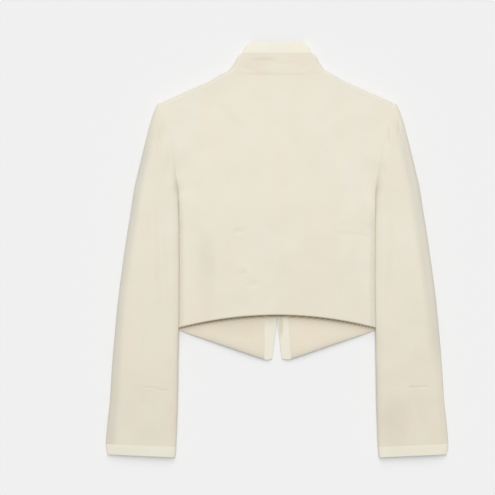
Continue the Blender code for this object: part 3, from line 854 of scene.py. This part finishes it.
def back_shade(middle):
    """Painted grey shade on the shoulders' rounded edges and, as a bell, in the valley beside each sleeve."""
    x, y = middle[..., 0], middle[..., 1]
    shade = RIM_SHADE * eased(1 - shoulder_inside(x, y) / RIM_REACH)
    below = eased((PRESSED_FADE_Y - y) / VALLEY_FADE)
    for side, valley in VALLEY_SHADE.items():
        shade = shade + valley.amount * bell((side * x - valley.out) / valley.half_width) * below
    return shade


def opened(y):
    """How far the fronts have parted: 0 above the opening, and evenly to 1 at the points."""
    return held((OPENING_TOP_Y - y) / (OPENING_TOP_Y - HEM_SIDE_Y + POINT_DROP))


def edging_seam(side, y):
    """The seam between a front and its band: straight above, leaning out towards the point."""
    return EDGING_SEAM_X[side] + EDGING_LEAN[side] * opened(y)


def neck_drop(across):
    """How far the fronts' neckline lies below the back's: (1 - a2) to the power of its curve."""
    return FRONT_NECK_DROP * held(1 - across ** 2) ** NECK_CURVE


def front_point(rows, x):
    """Moves rows of a front down to its slanted lower edge, and down to its neckline."""
    across = np.clip((HEM_HALF_WIDTH - x) / (HEM_HALF_WIDTH - POINT_HALF_WIDTH), 0, POINT_REACH)
    high = held((rows - NECK_Y + SHAPED_NECK_DEPTH) / SHAPED_NECK_DEPTH)
    return rows - POINT_DROP * across * hem_share(rows) - neck_drop(x / NECK_HALF_WIDTH) * high


def front_lift(rows, x):
    """How far the lower edge springs up from under the back: by the square of the way down.

    It is least at the side seam, rises straight towards the point and settles there as a bell.
    """
    low = held(1 - (rows - HEM_SIDE_Y) / POINT_LIFT_REACH) ** 2
    across = held(1 - x / HEM_HALF_WIDTH)
    settled = 1 - TIP_SETTLE * bell(x / TIP_SETTLE_WIDTH)
    return POINT_LIFT * low * mixed(SIDE_LIFT_SHARE, 1.0, across) * eased(across * SIDE_LIFT_START) * settled


def front_surface(side):
    """A flat panel from its edging's seam out to the side seam, armhole and shoulder, with ridges."""
    seam_share = SEAM_ROUND / UNDERARM_HALF_WIDTH
    s = with_edges(0.0, 1.0, FRONT_COLUMNS, seam_share, seam_share)[None, :]
    rows = body_rows(*FRONT_ROWS)
    seam = edging_seam(side, front_point(rows, POINT_HALF_WIDTH)) - SEAM_LAP
    x = mixed(seam, panel_half_width(rows, "front"), s)
    y = front_point(rows, x)
    height = FLOOR_LEVEL + front_lift(rows, x) + ridge_height(FRONT_RIDGES, x, y)
    return np.stack([side * x, y, height], axis=-1)[:, ::side]


def front_edging_surface(side, wall):
    """The light band down a front's edge, its lower corner rounded off as a parabola."""
    edge_share = wall / 2 / FRONT_EDGING_WIDTH
    s = with_edges(0.0, 1.0, FRONT_EDGING_COLUMNS, edge_share, SEAM_ROUND / FRONT_EDGING_WIDTH)[None, :]
    rows = body_rows(*FRONT_ROWS)
    level = front_point(rows, POINT_HALF_WIDTH)
    x = mixed(mixed(CLOSED_HALF_GAP, OPEN_HALF_GAP, opened(level)), edging_seam(side, level), s)
    y = front_point(rows, x) + POINT_ROUND * (1 - s) ** 2 * hem_share(rows)
    height = wall / 2 + FRONT_EDGING_RAISE + front_lift(rows, x)
    return np.stack([side * x, y, height], axis=-1)[:, ::side]


def front_shade_share(middle):
    """Share of the fronts' painted shade and shadow: 1 in the middle, eased down towards the side seams."""
    inside = (HEM_HALF_WIDTH - np.abs(middle[..., 0])) / FRONT_SHADE_FADE
    return mixed(FRONT_SHADE_LEFT, 1.0, eased(inside))


def under_hem_tone(middle):
    """Painted shadow under the back's hem: a bell across its line, narrower towards the sides."""
    hem = HEM_SIDE_Y + HEM_RISE * (1 - (middle[..., 0] / HEM_HALF_WIDTH) ** 2)
    return HEM_SHADE * bell((middle[..., 1] - hem) / (HEM_SHADE_REACH * front_shade_share(middle)))


def lower_edge_shade(middle):
    """Painted grey shade up from the front's lower edge: the sum of half bells, weaker towards the sides."""
    above = middle[..., 1] - middle[:1, :, 1]
    return sum(shade.amount * bell(above / shade.reach) for shade in EDGE_SHADES) * front_shade_share(middle)


def under_sleeve_level(x, y):
    """The lower cloth of a sleeve: on the floor, or over the body's side where that lies beneath."""
    out = eased_between(x - side_half_width(y), SIDE_STEP_START, SIDE_STEP_END)
    below_hem = eased((HEM_SIDE_Y - y) / HEM_STEP_LENGTH)
    return mixed(FLOOR_LEVEL, SLEEVE_LEVEL, (1 - out) * (1 - below_hem))


def spread(start, end, count):
    """Even steps from start to end, along each row."""
    return mixed(start, end, np.linspace(0, 1, count + 1)[None, :])


def sleeve_path(y, wall, inset):
    """The x, z grid of flattened rings, all rows at once.

    Each ring runs along the floor, round the outer bend (a quarter circle, then a wider quarter ellipse),
    back over the top, round the inner bend (an ellipse turned by the roll) and along the cloth beneath it.
    At the head the height closes down as a quarter round.
    """
    floor_count, outer_count, upper_count, inner_count, under_count = SLEEVE_COUNTS
    inner = column(SLEEVE, "inner", y) + inset + CLOTH / 2
    outer = column(SLEEVE, "outer", y) - inset - CLOTH / 2
    floor = wall / 2
    above_floor = floor - FLOOR_LEVEL
    head_share = quarter_round((SLEEVE_TOP_Y - y) / SHOULDER_ROUND)
    top = mixed(floor + HEAD_GAP, column(SLEEVE, "height", y) - inset - CLOTH / 2, head_share)
    bend = column(SLEEVE, "bend", y)
    roll = np.radians(column(SLEEVE, "roll", y))
    radius = (top - floor) * WIDEST_SHARE
    reach = np.minimum(OUTER_REACH, (outer - inner) * OUTER_REACH_SHARE)
    low_bend = np.minimum(bend, LOW_BEND)
    below = y <= UNDERARM_Y
    nearness = eased(1 - (y - UNDERARM_Y) / UNDERARM_BLEND)
    meet = float(under_sleeve_level(UNDERARM_HALF_WIDTH + SIDE_STEP_MIDDLE, UNDERARM_Y))
    armhole_x = column(ARMHOLE, "back", y)

    open_start = column(ARMHOLE, "front", y) + SIDE_STEP_MIDDLE * nearness
    ring_start = np.maximum(side_half_width(y) + SIDE_STEP_MIDDLE, inner + low_bend + SIDE_STEP_START)
    start = np.where(below, ring_start, open_start)
    floor_x = spread(start, outer - radius, floor_count)
    raised = (meet - floor) * nearness * eased(1 - (floor_x - start) / SIDE_STEP_MIDDLE)
    floor_z = np.where(below, under_sleeve_level(floor_x, y) + above_floor, floor + raised)

    turn = np.radians(np.linspace(-90, 90, outer_count + 1))[None, :]
    outer_x = outer - np.where(turn < 0, radius, reach) * (1 - np.cos(turn))
    outer_z = floor + radius + np.where(turn < 0, radius, top - floor - radius) * np.sin(turn)

    free = eased_between(roll, OPEN_ROLL, TURNED_ROLL)
    seam_x = mixed(armhole_x - SEAM_LAP, inner, free)
    centre = np.where(below | (roll > TURNED_ROLL), inner + bend, seam_x + bend * np.sin(roll))
    low_centre = centre - bend + low_bend
    seam_level = mixed(BACK_LEVEL, armhole_level(y), shoulder_share(armhole_x, y))
    seam_level = np.minimum(np.maximum(seam_level, SLEEVE_LEVEL), top - SEAM_ROUND)
    seam_level = np.where(below, under_sleeve_level(low_centre, y) + above_floor, seam_level)
    depth = (top - seam_level) / (1 - np.cos(roll))
    upper_x = spread(outer - reach, centre, upper_count)[:, 1:-1]
    upper_z = np.broadcast_to(top, upper_x.shape)

    open_end = np.maximum(armhole_x + SIDE_STEP_MIDDLE * nearness, low_centre + SEAM_LAP)
    under_length = np.where(y < ROLLED_UNDER_Y, np.where(below, start, open_end) - low_centre, 0.0)
    bend_length = roll * (bend + depth) / 2
    whole = bend_length + under_length
    even_break = whole * inner_count / (inner_count + under_count)
    break_at = mixed(even_break, bend_length, eased(under_length / UNDER_FULL_LENGTH))
    round_bend = spread(0.0, break_at, inner_count)
    walked = np.concatenate([round_bend, spread(break_at, whole, under_count)[:, 1:]], axis=1)
    angle = np.pi / 2 + roll * held(walked / bend_length)
    past = np.clip(walked - bend_length, 0, None)
    high_x = centre + bend * np.cos(angle)
    low_x = low_centre + low_bend * np.cos(angle)
    inner_x = np.where(angle < np.pi, high_x, low_x) + past
    beyond = eased((inner_x - armhole_x - SIDE_STEP_START) / SIDE_STEP_MIDDLE)
    open_z = mixed(SLEEVE_LEVEL, meet, beyond)
    under_z = np.where(below, under_sleeve_level(inner_x, y) + above_floor, open_z)
    inner_z = np.where(past > 0, under_z, top - depth + depth * np.sin(angle))
    x = np.concatenate([floor_x, outer_x[:, 1:], upper_x, inner_x], axis=1)
    z = np.concatenate([floor_z, outer_z[:, 1:], upper_z, inner_z], axis=1)
    return x, z


def sleeve_surface(side, rows, wall, troughs, inset=0.0):
    """Rings stacked along Y, slanted towards the cuff.

    Creases and rumple are eased in from half the height up, and ridges from a third of it down.
    """
    y = rows[:, None]
    x, z = sleeve_path(y, wall, inset)
    share = z / column(SLEEVE, "height", y)
    middle = (column(SLEEVE, "inner", y) + column(SLEEVE, "outer", y)) / 2
    slant = END_SLANT * held((SLANT_START_Y - y) / (SLANT_START_Y - SLEEVE_END_Y))
    settled = y + slant * (x - middle)
    uneven = rumple(side * x, settled) - crease_depth(troughs, x, settled)
    ridges = ridge_height(UNDER_RIDGES, x, settled)
    height = z + uneven * eased(3 * (share - 1 / 2)) + ridges * eased(6 * (1 / 3 - share))
    return np.stack([side * x, settled, height], axis=-1)[:, ::-side]


def sleeve_rows():
    """Section heights of a sleeve from the cuff's seam to the head, with one at the underarm."""
    low = CUFF_SEAM_Y - SEAM_LAP
    below = np.linspace(low, UNDERARM_Y, SLEEVE_ROWS_BELOW)[1:]
    above = np.linspace(UNDERARM_Y, SLEEVE_TOP_Y, SLEEVE_ROWS_ABOVE)[1:-1]
    near = np.concatenate([NEAR_EDGE * SEAM_ROUND, NEAR_SEAM])
    head = SLEEVE_TOP_Y - np.concatenate([HEAD_ROWS * SHOULDER_ROUND, NEAR_EDGE[::-1] * SEAM_ROUND, [0.0]])
    return np.concatenate([[low], low + near, below[below > low + near[-1]], above[above < head[0]], head])


def sleeve_tone(rows, middle, troughs):
    """The cloth's tone with painted shade in its creases, a little deeper up the sleeve, away from the
    armhole.
    """
    y = rows[:, None]
    away = eased((np.abs(middle[..., 0]) - column(SLEEVE, "inner", y)) / HEAD_TONE_REACH)
    return tone(middle, troughs=troughs) + SLEEVE_HEAD_TONE * eased(y / PRESSED_TOP_Y) * away


def fold_shade(side, rows, middle):
    """Painted grey shade towards the folds of the flattened tube, painted light where an amount is negative,
    and painted shade on the head's rim, from the cuff's measures to the sleeve's.
    """
    y = rows[:, None]
    share = eased((y - CUFF_SEAM_Y) / CUFF_SHADE_FADE)
    measures = zip(CUFF_FOLD_SHADE[side], SLEEVE_FOLD_SHADE[side])
    fold = FoldShade(*(mixed(low, high, share) for low, high in measures))
    out = np.abs(middle[..., 0])
    outer = 1 - (column(SLEEVE, "outer", y) - out) / fold.outer_width
    inner = 1 - (out - column(SLEEVE, "inner", y)) / fold.inner_width
    below_head = eased((SHOULDER_FILL_Y - y) / FOLD_SHADE_FADE)
    below_armhole = eased((PRESSED_FADE_Y - y) / VALLEY_FADE)
    rim = RIM_SHADE * eased(1 - (SLEEVE_TOP_Y - y) / RIM_REACH)
    folded = fold.outer * eased(FOLD_PLATEAU * outer) * below_head
    return folded + fold.inner * eased(inner) * below_armhole + rim


def seam_tuck(out, show):
    """The tuck along a seam: slight, with a flat-topped bell about the place where it shows."""
    return LEAST_TUCK + show.share * bell(((out - show.middle) / show.reach) ** 2)


def armhole_tuck(rows):
    """The tuck along the armhole: slight at the head, eased in below it."""
    return LEAST_TUCK + ARMHOLE_TUCK * eased((ARMHOLE_SHOW_Y - rows[:, None]) / ARMHOLE_SHOW_LENGTH)


def collar_surface(rows, wall):
    """Flattened rings open at the front: rounded at the sides, flat above and below.

    The lower cloth drops to the fronts' neckline by the neck curve times a power of the depth below the top.
    """
    bend_count, lower_count, upper_count = COLLAR_COUNTS
    y = rows[:, None]
    low = wall / 2
    half_width = column(COLLAR, "half_width", y) - low
    top = column(COLLAR, "height", y) - low
    radius = (top - low) / 2
    turn = np.radians(np.linspace(90, -90, bend_count + 1))[None, :]
    reach = mixed(NECK_ROUND, radius, eased((y - NECK_Y) / NECK_ROUND_HEIGHT))
    turned_x = half_width - np.where(turn > 0, reach, radius) * (1 - np.cos(turn))
    turned_z = low + radius + radius * np.sin(turn)
    lower_x = spread(half_width - radius, COLLAR_FRONT_HALF_GAP, lower_count)[:, 1:]
    right_x = np.concatenate([turned_x, lower_x], axis=1)
    right_z = np.concatenate([turned_z, np.full_like(lower_x, low)], axis=1)
    upper_x = spread(reach - half_width, half_width - reach, upper_count)[:, 1:-1]
    upper_z = np.broadcast_to(top, upper_x.shape)
    x = np.concatenate([-right_x[:, ::-1], upper_x, right_x], axis=1)
    z = np.concatenate([right_z[:, ::-1], upper_z, right_z], axis=1)
    under = (top - z) / (top - low)
    across = np.clip(x / (half_width + low), -1, 1)
    settled = y - neck_drop(across) * under ** COLLAR_DROP_POWER
    raised = COLLAR_RISE * bell(x / COLLAR_RISE_HALF_WIDTH)
    uneven = raised + rumple(x, settled) - crease_depth(COLLAR_CREASES, x, settled)
    return np.stack([x, settled, z + uneven * eased(1 - COLLAR_UPPER_SHARE * under)], axis=-1)


def stitched_row(surface, level, thickness):
    """A line across a surface at one level, on its outer face, with the outward direction along it."""
    middle = surface(level + STITCH_STEP * np.array([-1, 0, 1]), thickness)
    outward = surface_normals(middle)[1]
    return middle[1] + outward * thickness / 2, outward


def stitched_edging(side, thickness):
    """A line down a front's band beside its seam, with the outward direction along it."""
    rows = np.linspace(
        HEM_SIDE_Y + EDGING_STITCH_MARGIN, NECK_Y - EDGING_STITCH_MARGIN, EDGING_STITCH_SAMPLES)
    x = edging_seam(side, front_point(rows, POINT_HALF_WIDTH)) - STITCH_INSET
    z = thickness + FRONT_EDGING_RAISE + front_lift(rows, x)
    path = np.stack([side * x, front_point(rows, x), z], axis=-1)
    return path, np.broadcast_to([0.0, 0.0, 1.0], path.shape)


def unit(vectors):
    """Rows of vectors made one long."""
    return vectors / np.linalg.norm(vectors, axis=1, keepdims=True)


def stitch_run(path, outward, length, pitch, radius):
    """Points and faces of a row of stitches, each a thin spindle whose ends dip into the cloth.

    A stitch's ring at s from -1 to 1 lies s half-lengths along the path, radius (sink + dip s2) below it,
    and is radius sqrt(1 - taper s2) wide.
    """
    walked = np.pad(np.linalg.norm(np.diff(path, axis=0), axis=1).cumsum(), (1, 0))
    centres = np.arange(pitch / 2, walked[-1] - pitch / 2, pitch)

    def read(values, at):
        return np.stack([np.interp(at, walked, values[:, axis]) for axis in range(3)], axis=-1)

    along = unit(read(path, centres + length / 2) - read(path, centres - length / 2))
    aside = unit(np.cross(along, read(outward, centres)))[:, None, None]
    along = along[:, None, None]
    up = np.cross(aside, along)
    s = np.linspace(-1, 1, STITCH_RINGS)[None, :, None, None]
    angle = np.linspace(0, 2 * np.pi, STITCH_SIDES, endpoint=False)[None, None, :, None]
    width = radius * np.sqrt(1 - STITCH_TAPER * s ** 2)
    spine = read(path, centres)[:, None, None] + along * s * length / 2
    spine = spine - up * radius * (STITCH_SINK + STITCH_DIP * s ** 2)
    points = spine + width * (np.cos(angle) * aside + np.sin(angle) * up)
    numbers = np.arange(STITCH_RINGS * STITCH_SIDES).reshape(STITCH_RINGS, STITCH_SIDES)
    looped = np.concatenate([numbers, numbers[:, :1]], axis=1)
    # Two faces of four corners close a ring of six
    caps = np.array([[0, 1, 2, 3], [0, 3, 4, 5]])
    one = np.concatenate([cell_corners(looped)[:, ::-1], caps, (caps + numbers[-1, 0])[:, ::-1]])
    starts = np.arange(len(centres)) * numbers.size
    return points.reshape(-1, 3), (one[None] + starts[:, None, None]).reshape(-1, 4)


def shader_node(tree, kind, inputs, **settings):
    """A shader node: its settings first, then its inputs, where a socket is linked and a value is set."""
    made = tree.nodes.new(kind)
    for name, value in settings.items():
        setattr(made, name, value)
    for name, value in inputs.items():
        if isinstance(value, bpy.types.NodeSocket):
            tree.links.new(value, made.inputs[name])
        else:
            made.inputs[name].default_value = value
    return made


def worked_out(tree, operation, *values):
    """The result of one sum, difference, product, quotient or sine."""
    return shader_node(tree, "ShaderNodeMath", dict(enumerate(values)), operation=operation).outputs[0]


def noise_at(tree, place, noise):
    """Soft noise, read at a stretched place."""
    held = shader_node(tree, "ShaderNodeMapping", {"Vector": place, "Scale": noise.stretch})
    inputs = {"Vector": held.outputs["Vector"], "Scale": noise.scale, "Detail": noise.detail}
    return shader_node(tree, "ShaderNodeTexNoise", inputs).outputs["Fac"]


def blended(tree, share, first, second, **settings):
    """Two colours mixed by a share."""
    inputs = {"Factor": share, "A": first, "B": second}
    return shader_node(tree, "ShaderNodeMix", inputs, data_type="RGBA", **settings).outputs["Result"]


def attribute_of(tree, name):
    """A value that each point of the cloth carries."""
    return shader_node(tree, "ShaderNodeAttribute", {}, attribute_name=name).outputs["Fac"]


def shaded(colour, shares, amount):
    """A colour whose channels each lose an amount times their own share, with full cover."""
    return (*(channel * (1 - amount * share) for channel, share in zip(colour, shares)), 1.0)


def new_finish(name, values):
    """A material with values on its surface shader's sockets, its node tree and that shader."""
    material = bpy.data.materials.new(name)
    material.use_nodes = True
    shader = material.node_tree.nodes["Principled BSDF"]
    for socket, value in values.items():
        shader.inputs[socket].default_value = value
    return material, material.node_tree, shader


def cloth_finish(name, colour, pitch, slub):
    """Matt twill: sine ribs on the diagonal, rungs across them and slubs in the bump, under a mottled colour.

    The colour deepens with the tone and painted shade that each point carries, and greys with its painted
    grey shade.
    """
    material, tree, shader = new_finish(
        name, {"Roughness": 0.92, "Specular IOR Level": 0.15, "Sheen Weight": 0.12, "Sheen Roughness": 0.6})
    work = partial(worked_out, tree)
    noise = partial(noise_at, tree)
    weave = shader_node(tree, "ShaderNodeUVMap", {}, uv_map="cloth").outputs["UV"]
    place = shader_node(tree, "ShaderNodeSeparateXYZ", {"Vector": weave}).outputs
    turns = 2 * math.pi / pitch
    ribs = work("SINE", work("MULTIPLY", work("ADD", place["X"], place["Y"]), turns))
    rungs = work("SINE", work("MULTIPLY", work("SUBTRACT", place["X"], place["Y"]), 2 * turns))
    threads = work("ADD", ribs, work("MULTIPLY", rungs, RUNG_SHARE))
    slubs = work("ADD", noise(weave, WARP_SLUBS), noise(weave, WEFT_SLUBS))
    height = work("ADD", work("MULTIPLY", threads, RIB_HEIGHT), work("MULTIPLY", slubs, slub))
    inputs = {"Height": height, "Strength": BUMP_STRENGTH, "Distance": BUMP_HEIGHT}
    bump = shader_node(tree, "ShaderNodeBump", inputs)
    tree.links.new(bump.outputs["Normal"], shader.inputs["Normal"])

    solid = shader_node(tree, "ShaderNodeTexCoord", {}).outputs["Object"]
    mottled = work("MULTIPLY", work("SUBTRACT", noise(solid, MOTTLE), 0.5), MOTTLE_TONE)
    speckled = work("MULTIPLY", work("SUBTRACT", slubs, 1.0), SLUB_TONE)
    # Tone and painted shade that each point carries
    dark = work("ADD", work("ADD", mottled, speckled), attribute_of(tree, "tone_and_painted_shade"))
    share = work("DIVIDE", work("SUBTRACT", dark, LIGHTEST_TONE), DARKEST_TONE - LIGHTEST_TONE)
    light = shaded(colour, DARK_SHARE, LIGHTEST_TONE)
    deep = shaded(colour, DARK_SHARE, DARKEST_TONE)
    tint = blended(tree, share, light, deep)
    swung = work("MULTIPLY", work("SUBTRACT", noise(solid, STRIPES), 0.5), STRIPE_CONTRAST)
    cool = shaded(WHITE, HUE_SHARE, 1)
    warm = shaded(WHITE, HUE_SHARE, -1)
    swing = blended(tree, work("ADD", swung, 0.5), cool, warm)
    hue = blended(tree, 1.0, tint, swing, blend_type="MULTIPLY")
    grey = shaded(WHITE, SHADE_SHARE, 1)
    folded = blended(
        tree, attribute_of(tree, "shade"), hue, grey, blend_type="MULTIPLY", clamp_factor=False)
    tree.links.new(folded, shader.inputs["Base Color"])
    return material


def thread_finish(colour):
    """Soft sewing thread: slightly shiny, with small changes of tone from stitch to stitch."""
    material, tree, shader = new_finish("cream_thread", {"Roughness": 0.7, "Specular IOR Level": 0.3})
    place = shader_node(tree, "ShaderNodeTexCoord", {}).outputs["Object"]
    spots = noise_at(tree, place, THREAD_SPOTS)
    tint = blended(tree, spots, shaded(colour, WHITE, DARKEST_THREAD), shaded(colour, WHITE, LIGHTEST_THREAD))
    tree.links.new(tint, shader.inputs["Base Color"])
    return material


def finish_of(slot):
    """The finish of one kind of cloth, made once."""
    finish = FINISHES[slot]
    made = bpy.data.materials.get(finish.name)
    if made is not None:
        return made
    scene = bpy.context.scene
    colour = getattr(scene.jacket_colours, finish.colour)
    return cloth_finish(finish.name, colour, scene.jacket_sizes.thread_pitch, finish.slub)


class JACKET_OT_back(bpy.types.Operator):
    """The back panel, from its curved hem to the neck seam"""

    bl_idname = "jacket.back"
    bl_label = "Back"

    def execute(self, context):
        middle = back_surface()
        lay_cloth(
            "back", "main_cloth", middle, context.scene.jacket_sizes.cloth,
            HEMMED_ROUNDS, back_tone(middle), back_shade(middle))
        return {"FINISHED"}


class JACKET_OT_fronts(bpy.types.Operator):
    """The two fronts, inside face up, and the light band down each front edge"""

    bl_idname = "jacket.fronts"
    bl_label = "Fronts"

    def execute(self, context):
        sizes = context.scene.jacket_sizes
        fold = sizes.edging_cloth / 2
        for side, word in SIDES:
            middle = front_surface(side)
            # Tone, with painted shadow under the back's hem; painted grey shade along the lower edge
            dark = tone(middle) + INSIDE_TONE + under_hem_tone(middle)
            lay_cloth(
                f"front_{word}", "front_cloth", middle, sizes.cloth,
                HEMMED_ROUNDS, dark, lower_edge_shade(middle), tucks=(0, 0, *(FRONT_TUCK, 0)[::side]))
            middle = front_edging_surface(side, sizes.edging_cloth)
            rounds = (fold, SEAM_ROUND, *(fold, SEAM_ROUND)[::side])
            lay_cloth(
                f"front_edging_{word}", "edging_cloth", middle, sizes.edging_cloth,
                rounds, tone(middle, EDGING_PATCHES) + under_hem_tone(middle))
        return {"FINISHED"}


class JACKET_OT_sleeves(bpy.types.Operator):
    """The two sleeves, from the cuff seam to the eased head"""

    bl_idname = "jacket.sleeves"
    bl_label = "Sleeves"

    def execute(self, context):
        cloth = context.scene.jacket_sizes.cloth
        rows = sleeve_rows()
        closed = int((rows <= UNDERARM_Y).sum())
        for side, word in SIDES:
            troughs = SLEEVE_CREASES[side]
            middle = sleeve_surface(side, rows, cloth, troughs)
            cuff_tuck = seam_tuck(np.abs(middle[:1, :, 0]), CUFF_SEAM_SHOWS[side])
            tucks = (cuff_tuck, 0, armhole_tuck(rows), armhole_tuck(rows))
            lay_cloth(
                f"sleeve_{word}", "main_cloth", middle, cloth, SEWN_ROUNDS,
                sleeve_tone(rows, middle, troughs), fold_shade(side, rows, middle), closed, tucks)
        return {"FINISHED"}


class JACKET_OT_cuffs(bpy.types.Operator):
    """The deep cuffs and the light band at their ends"""

    bl_idname = "jacket.cuffs"
    bl_label = "Cuffs"

    def execute(self, context):
        sizes = context.scene.jacket_sizes
        fold = sizes.edging_cloth / 2
        rows = with_edges(CUFF_EDGING_Y, CUFF_SEAM_Y, CUFF_ROWS, SEAM_ROUND, SEAM_ROUND)
        rows = np.sort(np.concatenate([rows, CUFF_SEAM_Y - NEAR_SEAM]))
        band_rows = with_edges(SLEEVE_END_Y, CUFF_EDGING_Y + SEAM_LAP, CUFF_EDGING_ROWS, fold, SEAM_ROUND)
        for side, word in SIDES:
            troughs = CUFF_CREASES[side]
            middle = sleeve_surface(side, rows, sizes.cloth, troughs)
            lay_cloth(
                f"cuff_{word}", "main_cloth", middle, sizes.cloth, SEWN_ROUNDS,
                sleeve_tone(rows, middle, troughs), fold_shade(side, rows, middle), len(rows),
                (CUFF_END_TUCK, 0, 0, 0))
            middle = sleeve_surface(side, band_rows, sizes.edging_cloth, troughs, CUFF_EDGING_INSET)
            lay_cloth(
                f"cuff_edging_{word}", "edging_cloth", middle, sizes.edging_cloth,
                (fold, *SEWN_ROUNDS[1:]), tone(middle) + CUFF_EDGING_TONE, closed_rows=len(band_rows))
        return {"FINISHED"}


class JACKET_OT_collar(bpy.types.Operator):
    """The stand collar and the light band along its top"""

    bl_idname = "jacket.collar"
    bl_label = "Collar"

    def execute(self, context):
        sizes = context.scene.jacket_sizes
        fold = sizes.edging_cloth / 2
        rows = with_edges(NECK_Y - SEAM_LAP, COLLAR_TOP_Y, COLLAR_ROWS, SEAM_ROUND, SEAM_ROUND)
        middle = collar_surface(rows, sizes.collar_cloth)
        neck_tuck = seam_tuck(middle[:1, :, 0], NECK_SEAM_SHOWS)
        lay_cloth(
            "collar", "main_cloth", middle, sizes.collar_cloth,
            SEWN_ROUNDS, tone(middle) + COLLAR_TONE, tucks=(neck_tuck, 0, 0, 0))
        rows = with_edges(COLLAR_TOP_Y - SEAM_LAP, COLLAR_EDGING_TOP_Y, COLLAR_EDGING_ROWS, SEAM_ROUND, fold)
        middle = collar_surface(rows, sizes.edging_cloth)
        lay_cloth(
            "collar_edging", "edging_cloth", middle, sizes.edging_cloth,
            (SEAM_ROUND, fold, fold, fold), 0.0, tucks=(1, 0, 0, 0))
        return {"FINISHED"}


class JACKET_OT_sewing(bpy.types.Operator):
    """Rows of small stitches beside the seams, in thread of the cloth's colour"""

    bl_idname = "jacket.sewing"
    bl_label = "Sewing"

    def execute(self, context):
        sizes = context.scene.jacket_sizes
        lines = []
        for side, _ in SIDES:
            cuff = partial(sleeve_surface, side, troughs=CUFF_CREASES[side])
            cuff_band = partial(cuff, inset=CUFF_EDGING_INSET)
            lines.append(stitched_row(cuff, CUFF_SEAM_Y - STITCH_INSET, sizes.cloth))
            lines.append(stitched_row(cuff_band, CUFF_EDGING_Y - STITCH_INSET, sizes.edging_cloth))
            lines.append(stitched_edging(side, sizes.edging_cloth))
        lines.append(stitched_row(collar_surface, COLLAR_TOP_Y - STITCH_INSET, sizes.collar_cloth))
        points = []
        faces = []
        count = 0
        for path, outward in lines:
            row_points, row_faces = stitch_run(
                path, outward, sizes.stitch_length, sizes.stitch_pitch, sizes.thread_radius)
            points.append(row_points)
            faces.append(row_faces + count)
            count += len(row_points)
        points = np.concatenate(points)
        points[:, 2] = np.maximum(points[:, 2], -FLOOR_DROP / 2)
        finish = thread_finish(context.scene.jacket_colours.thread)
        piece = mesh_piece("sewing", points, np.concatenate(faces), finish)
        return {"FINISHED"}


class JACKET_OT_stage(bpy.types.Operator):
    """The pale floor, the light and the camera straight above"""

    bl_idname = "jacket.stage"
    bl_label = "Stage"

    def execute(self, context):
        scene = context.scene
        stage = scene.jacket_stage
        mesh = bpy.data.meshes.new("floor")
        corners = [(FLOOR_REACH * x, FLOOR_REACH * y, -FLOOR_DROP) for x, y in FLOOR_CORNERS]
        mesh.from_pydata(corners, [], [(0, 1, 2, 3)])
        finish, _, _ = new_finish(
            "pale_floor",
            {"Base Color": (*scene.jacket_colours.floor, 1.0), "Roughness": 0.95, "Specular IOR Level": 0.0})
        mesh.materials.append(finish)
        floor = bpy.data.objects.new("floor", mesh)
        scene.collection.objects.link(floor)
        world = bpy.data.worlds.new("studio")
        world.use_nodes = True
        sky = world.node_tree.nodes["Background"]
        sky.inputs["Color"].default_value = (*WHITE, 1.0)
        sky.inputs["Strength"].default_value = stage.sky
        scene.world = world
        for number, row in enumerate(LAMPS):
            lamp = bpy.data.lights.new(f"lamp_{number}", "SUN")
            lamp.energy = stage.key * row.share
            lamp.angle = stage.key_spread
            key = bpy.data.objects.new(lamp.name, lamp)
            key.rotation_euler = (-math.radians(row.tilt), 0.0, 0.0)
            key.location = (0.0, math.sin(math.radians(row.tilt)), LAMP_HEIGHT)
            scene.collection.objects.link(key)
        camera = bpy.data.cameras.new("camera")
        camera.lens = stage.lens
        camera.clip_end = FAR_CLIP
        eye = bpy.data.objects.new("camera", camera)
        distance = stage.sight_width * camera.lens / camera.sensor_width
        eye.location = (stage.sight_x, stage.sight_y, stage.sight_z + distance)
        scene.collection.objects.link(eye)
        scene.camera = eye
        scene.view_settings.view_transform = "Standard"
        return {"FINISHED"}


class JACKET_PT_build(bpy.types.Panel):
    """Lists the jacket's pieces"""

    bl_idname = "JACKET_PT_build"
    bl_label = "Cropped jacket"
    bl_space_type = "VIEW_3D"
    bl_region_type = "UI"
    bl_category = "Jacket"

    def draw(self, context):
        for operator in OPERATORS:
            self.layout.operator(operator.bl_idname)
        for group in (context.scene.jacket_sizes, context.scene.jacket_colours, context.scene.jacket_stage):
            for name in group.__annotations__:
                self.layout.prop(group, name)


OPERATORS = (
    JACKET_OT_stage,
    JACKET_OT_fronts,
    JACKET_OT_back,
    JACKET_OT_sleeves,
    JACKET_OT_cuffs,
    JACKET_OT_collar,
    JACKET_OT_sewing,
)
CLASSES = (JacketSizes, JacketColours, JacketStage, *OPERATORS, JACKET_PT_build)


def register():
    """Adds the classes and the scene's properties."""
    for cls in CLASSES:
        bpy.utils.register_class(cls)
    bpy.types.Scene.jacket_sizes = bpy.props.PointerProperty(type=JacketSizes)
    bpy.types.Scene.jacket_colours = bpy.props.PointerProperty(type=JacketColours)
    bpy.types.Scene.jacket_stage = bpy.props.PointerProperty(type=JacketStage)


def unregister():
    """Removes the properties and the classes."""
    del bpy.types.Scene.jacket_stage
    del bpy.types.Scene.jacket_colours
    del bpy.types.Scene.jacket_sizes
    for cls in reversed(CLASSES):
        bpy.utils.unregister_class(cls)


def main():
    """Builds the jacket on its stage."""
    register()
    bpy.ops.jacket.stage()
    bpy.ops.jacket.fronts()
    bpy.ops.jacket.back()
    bpy.ops.jacket.sleeves()
    bpy.ops.jacket.cuffs()
    bpy.ops.jacket.collar()
    bpy.ops.jacket.sewing()
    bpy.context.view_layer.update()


if __name__ == "__main__":
    main()
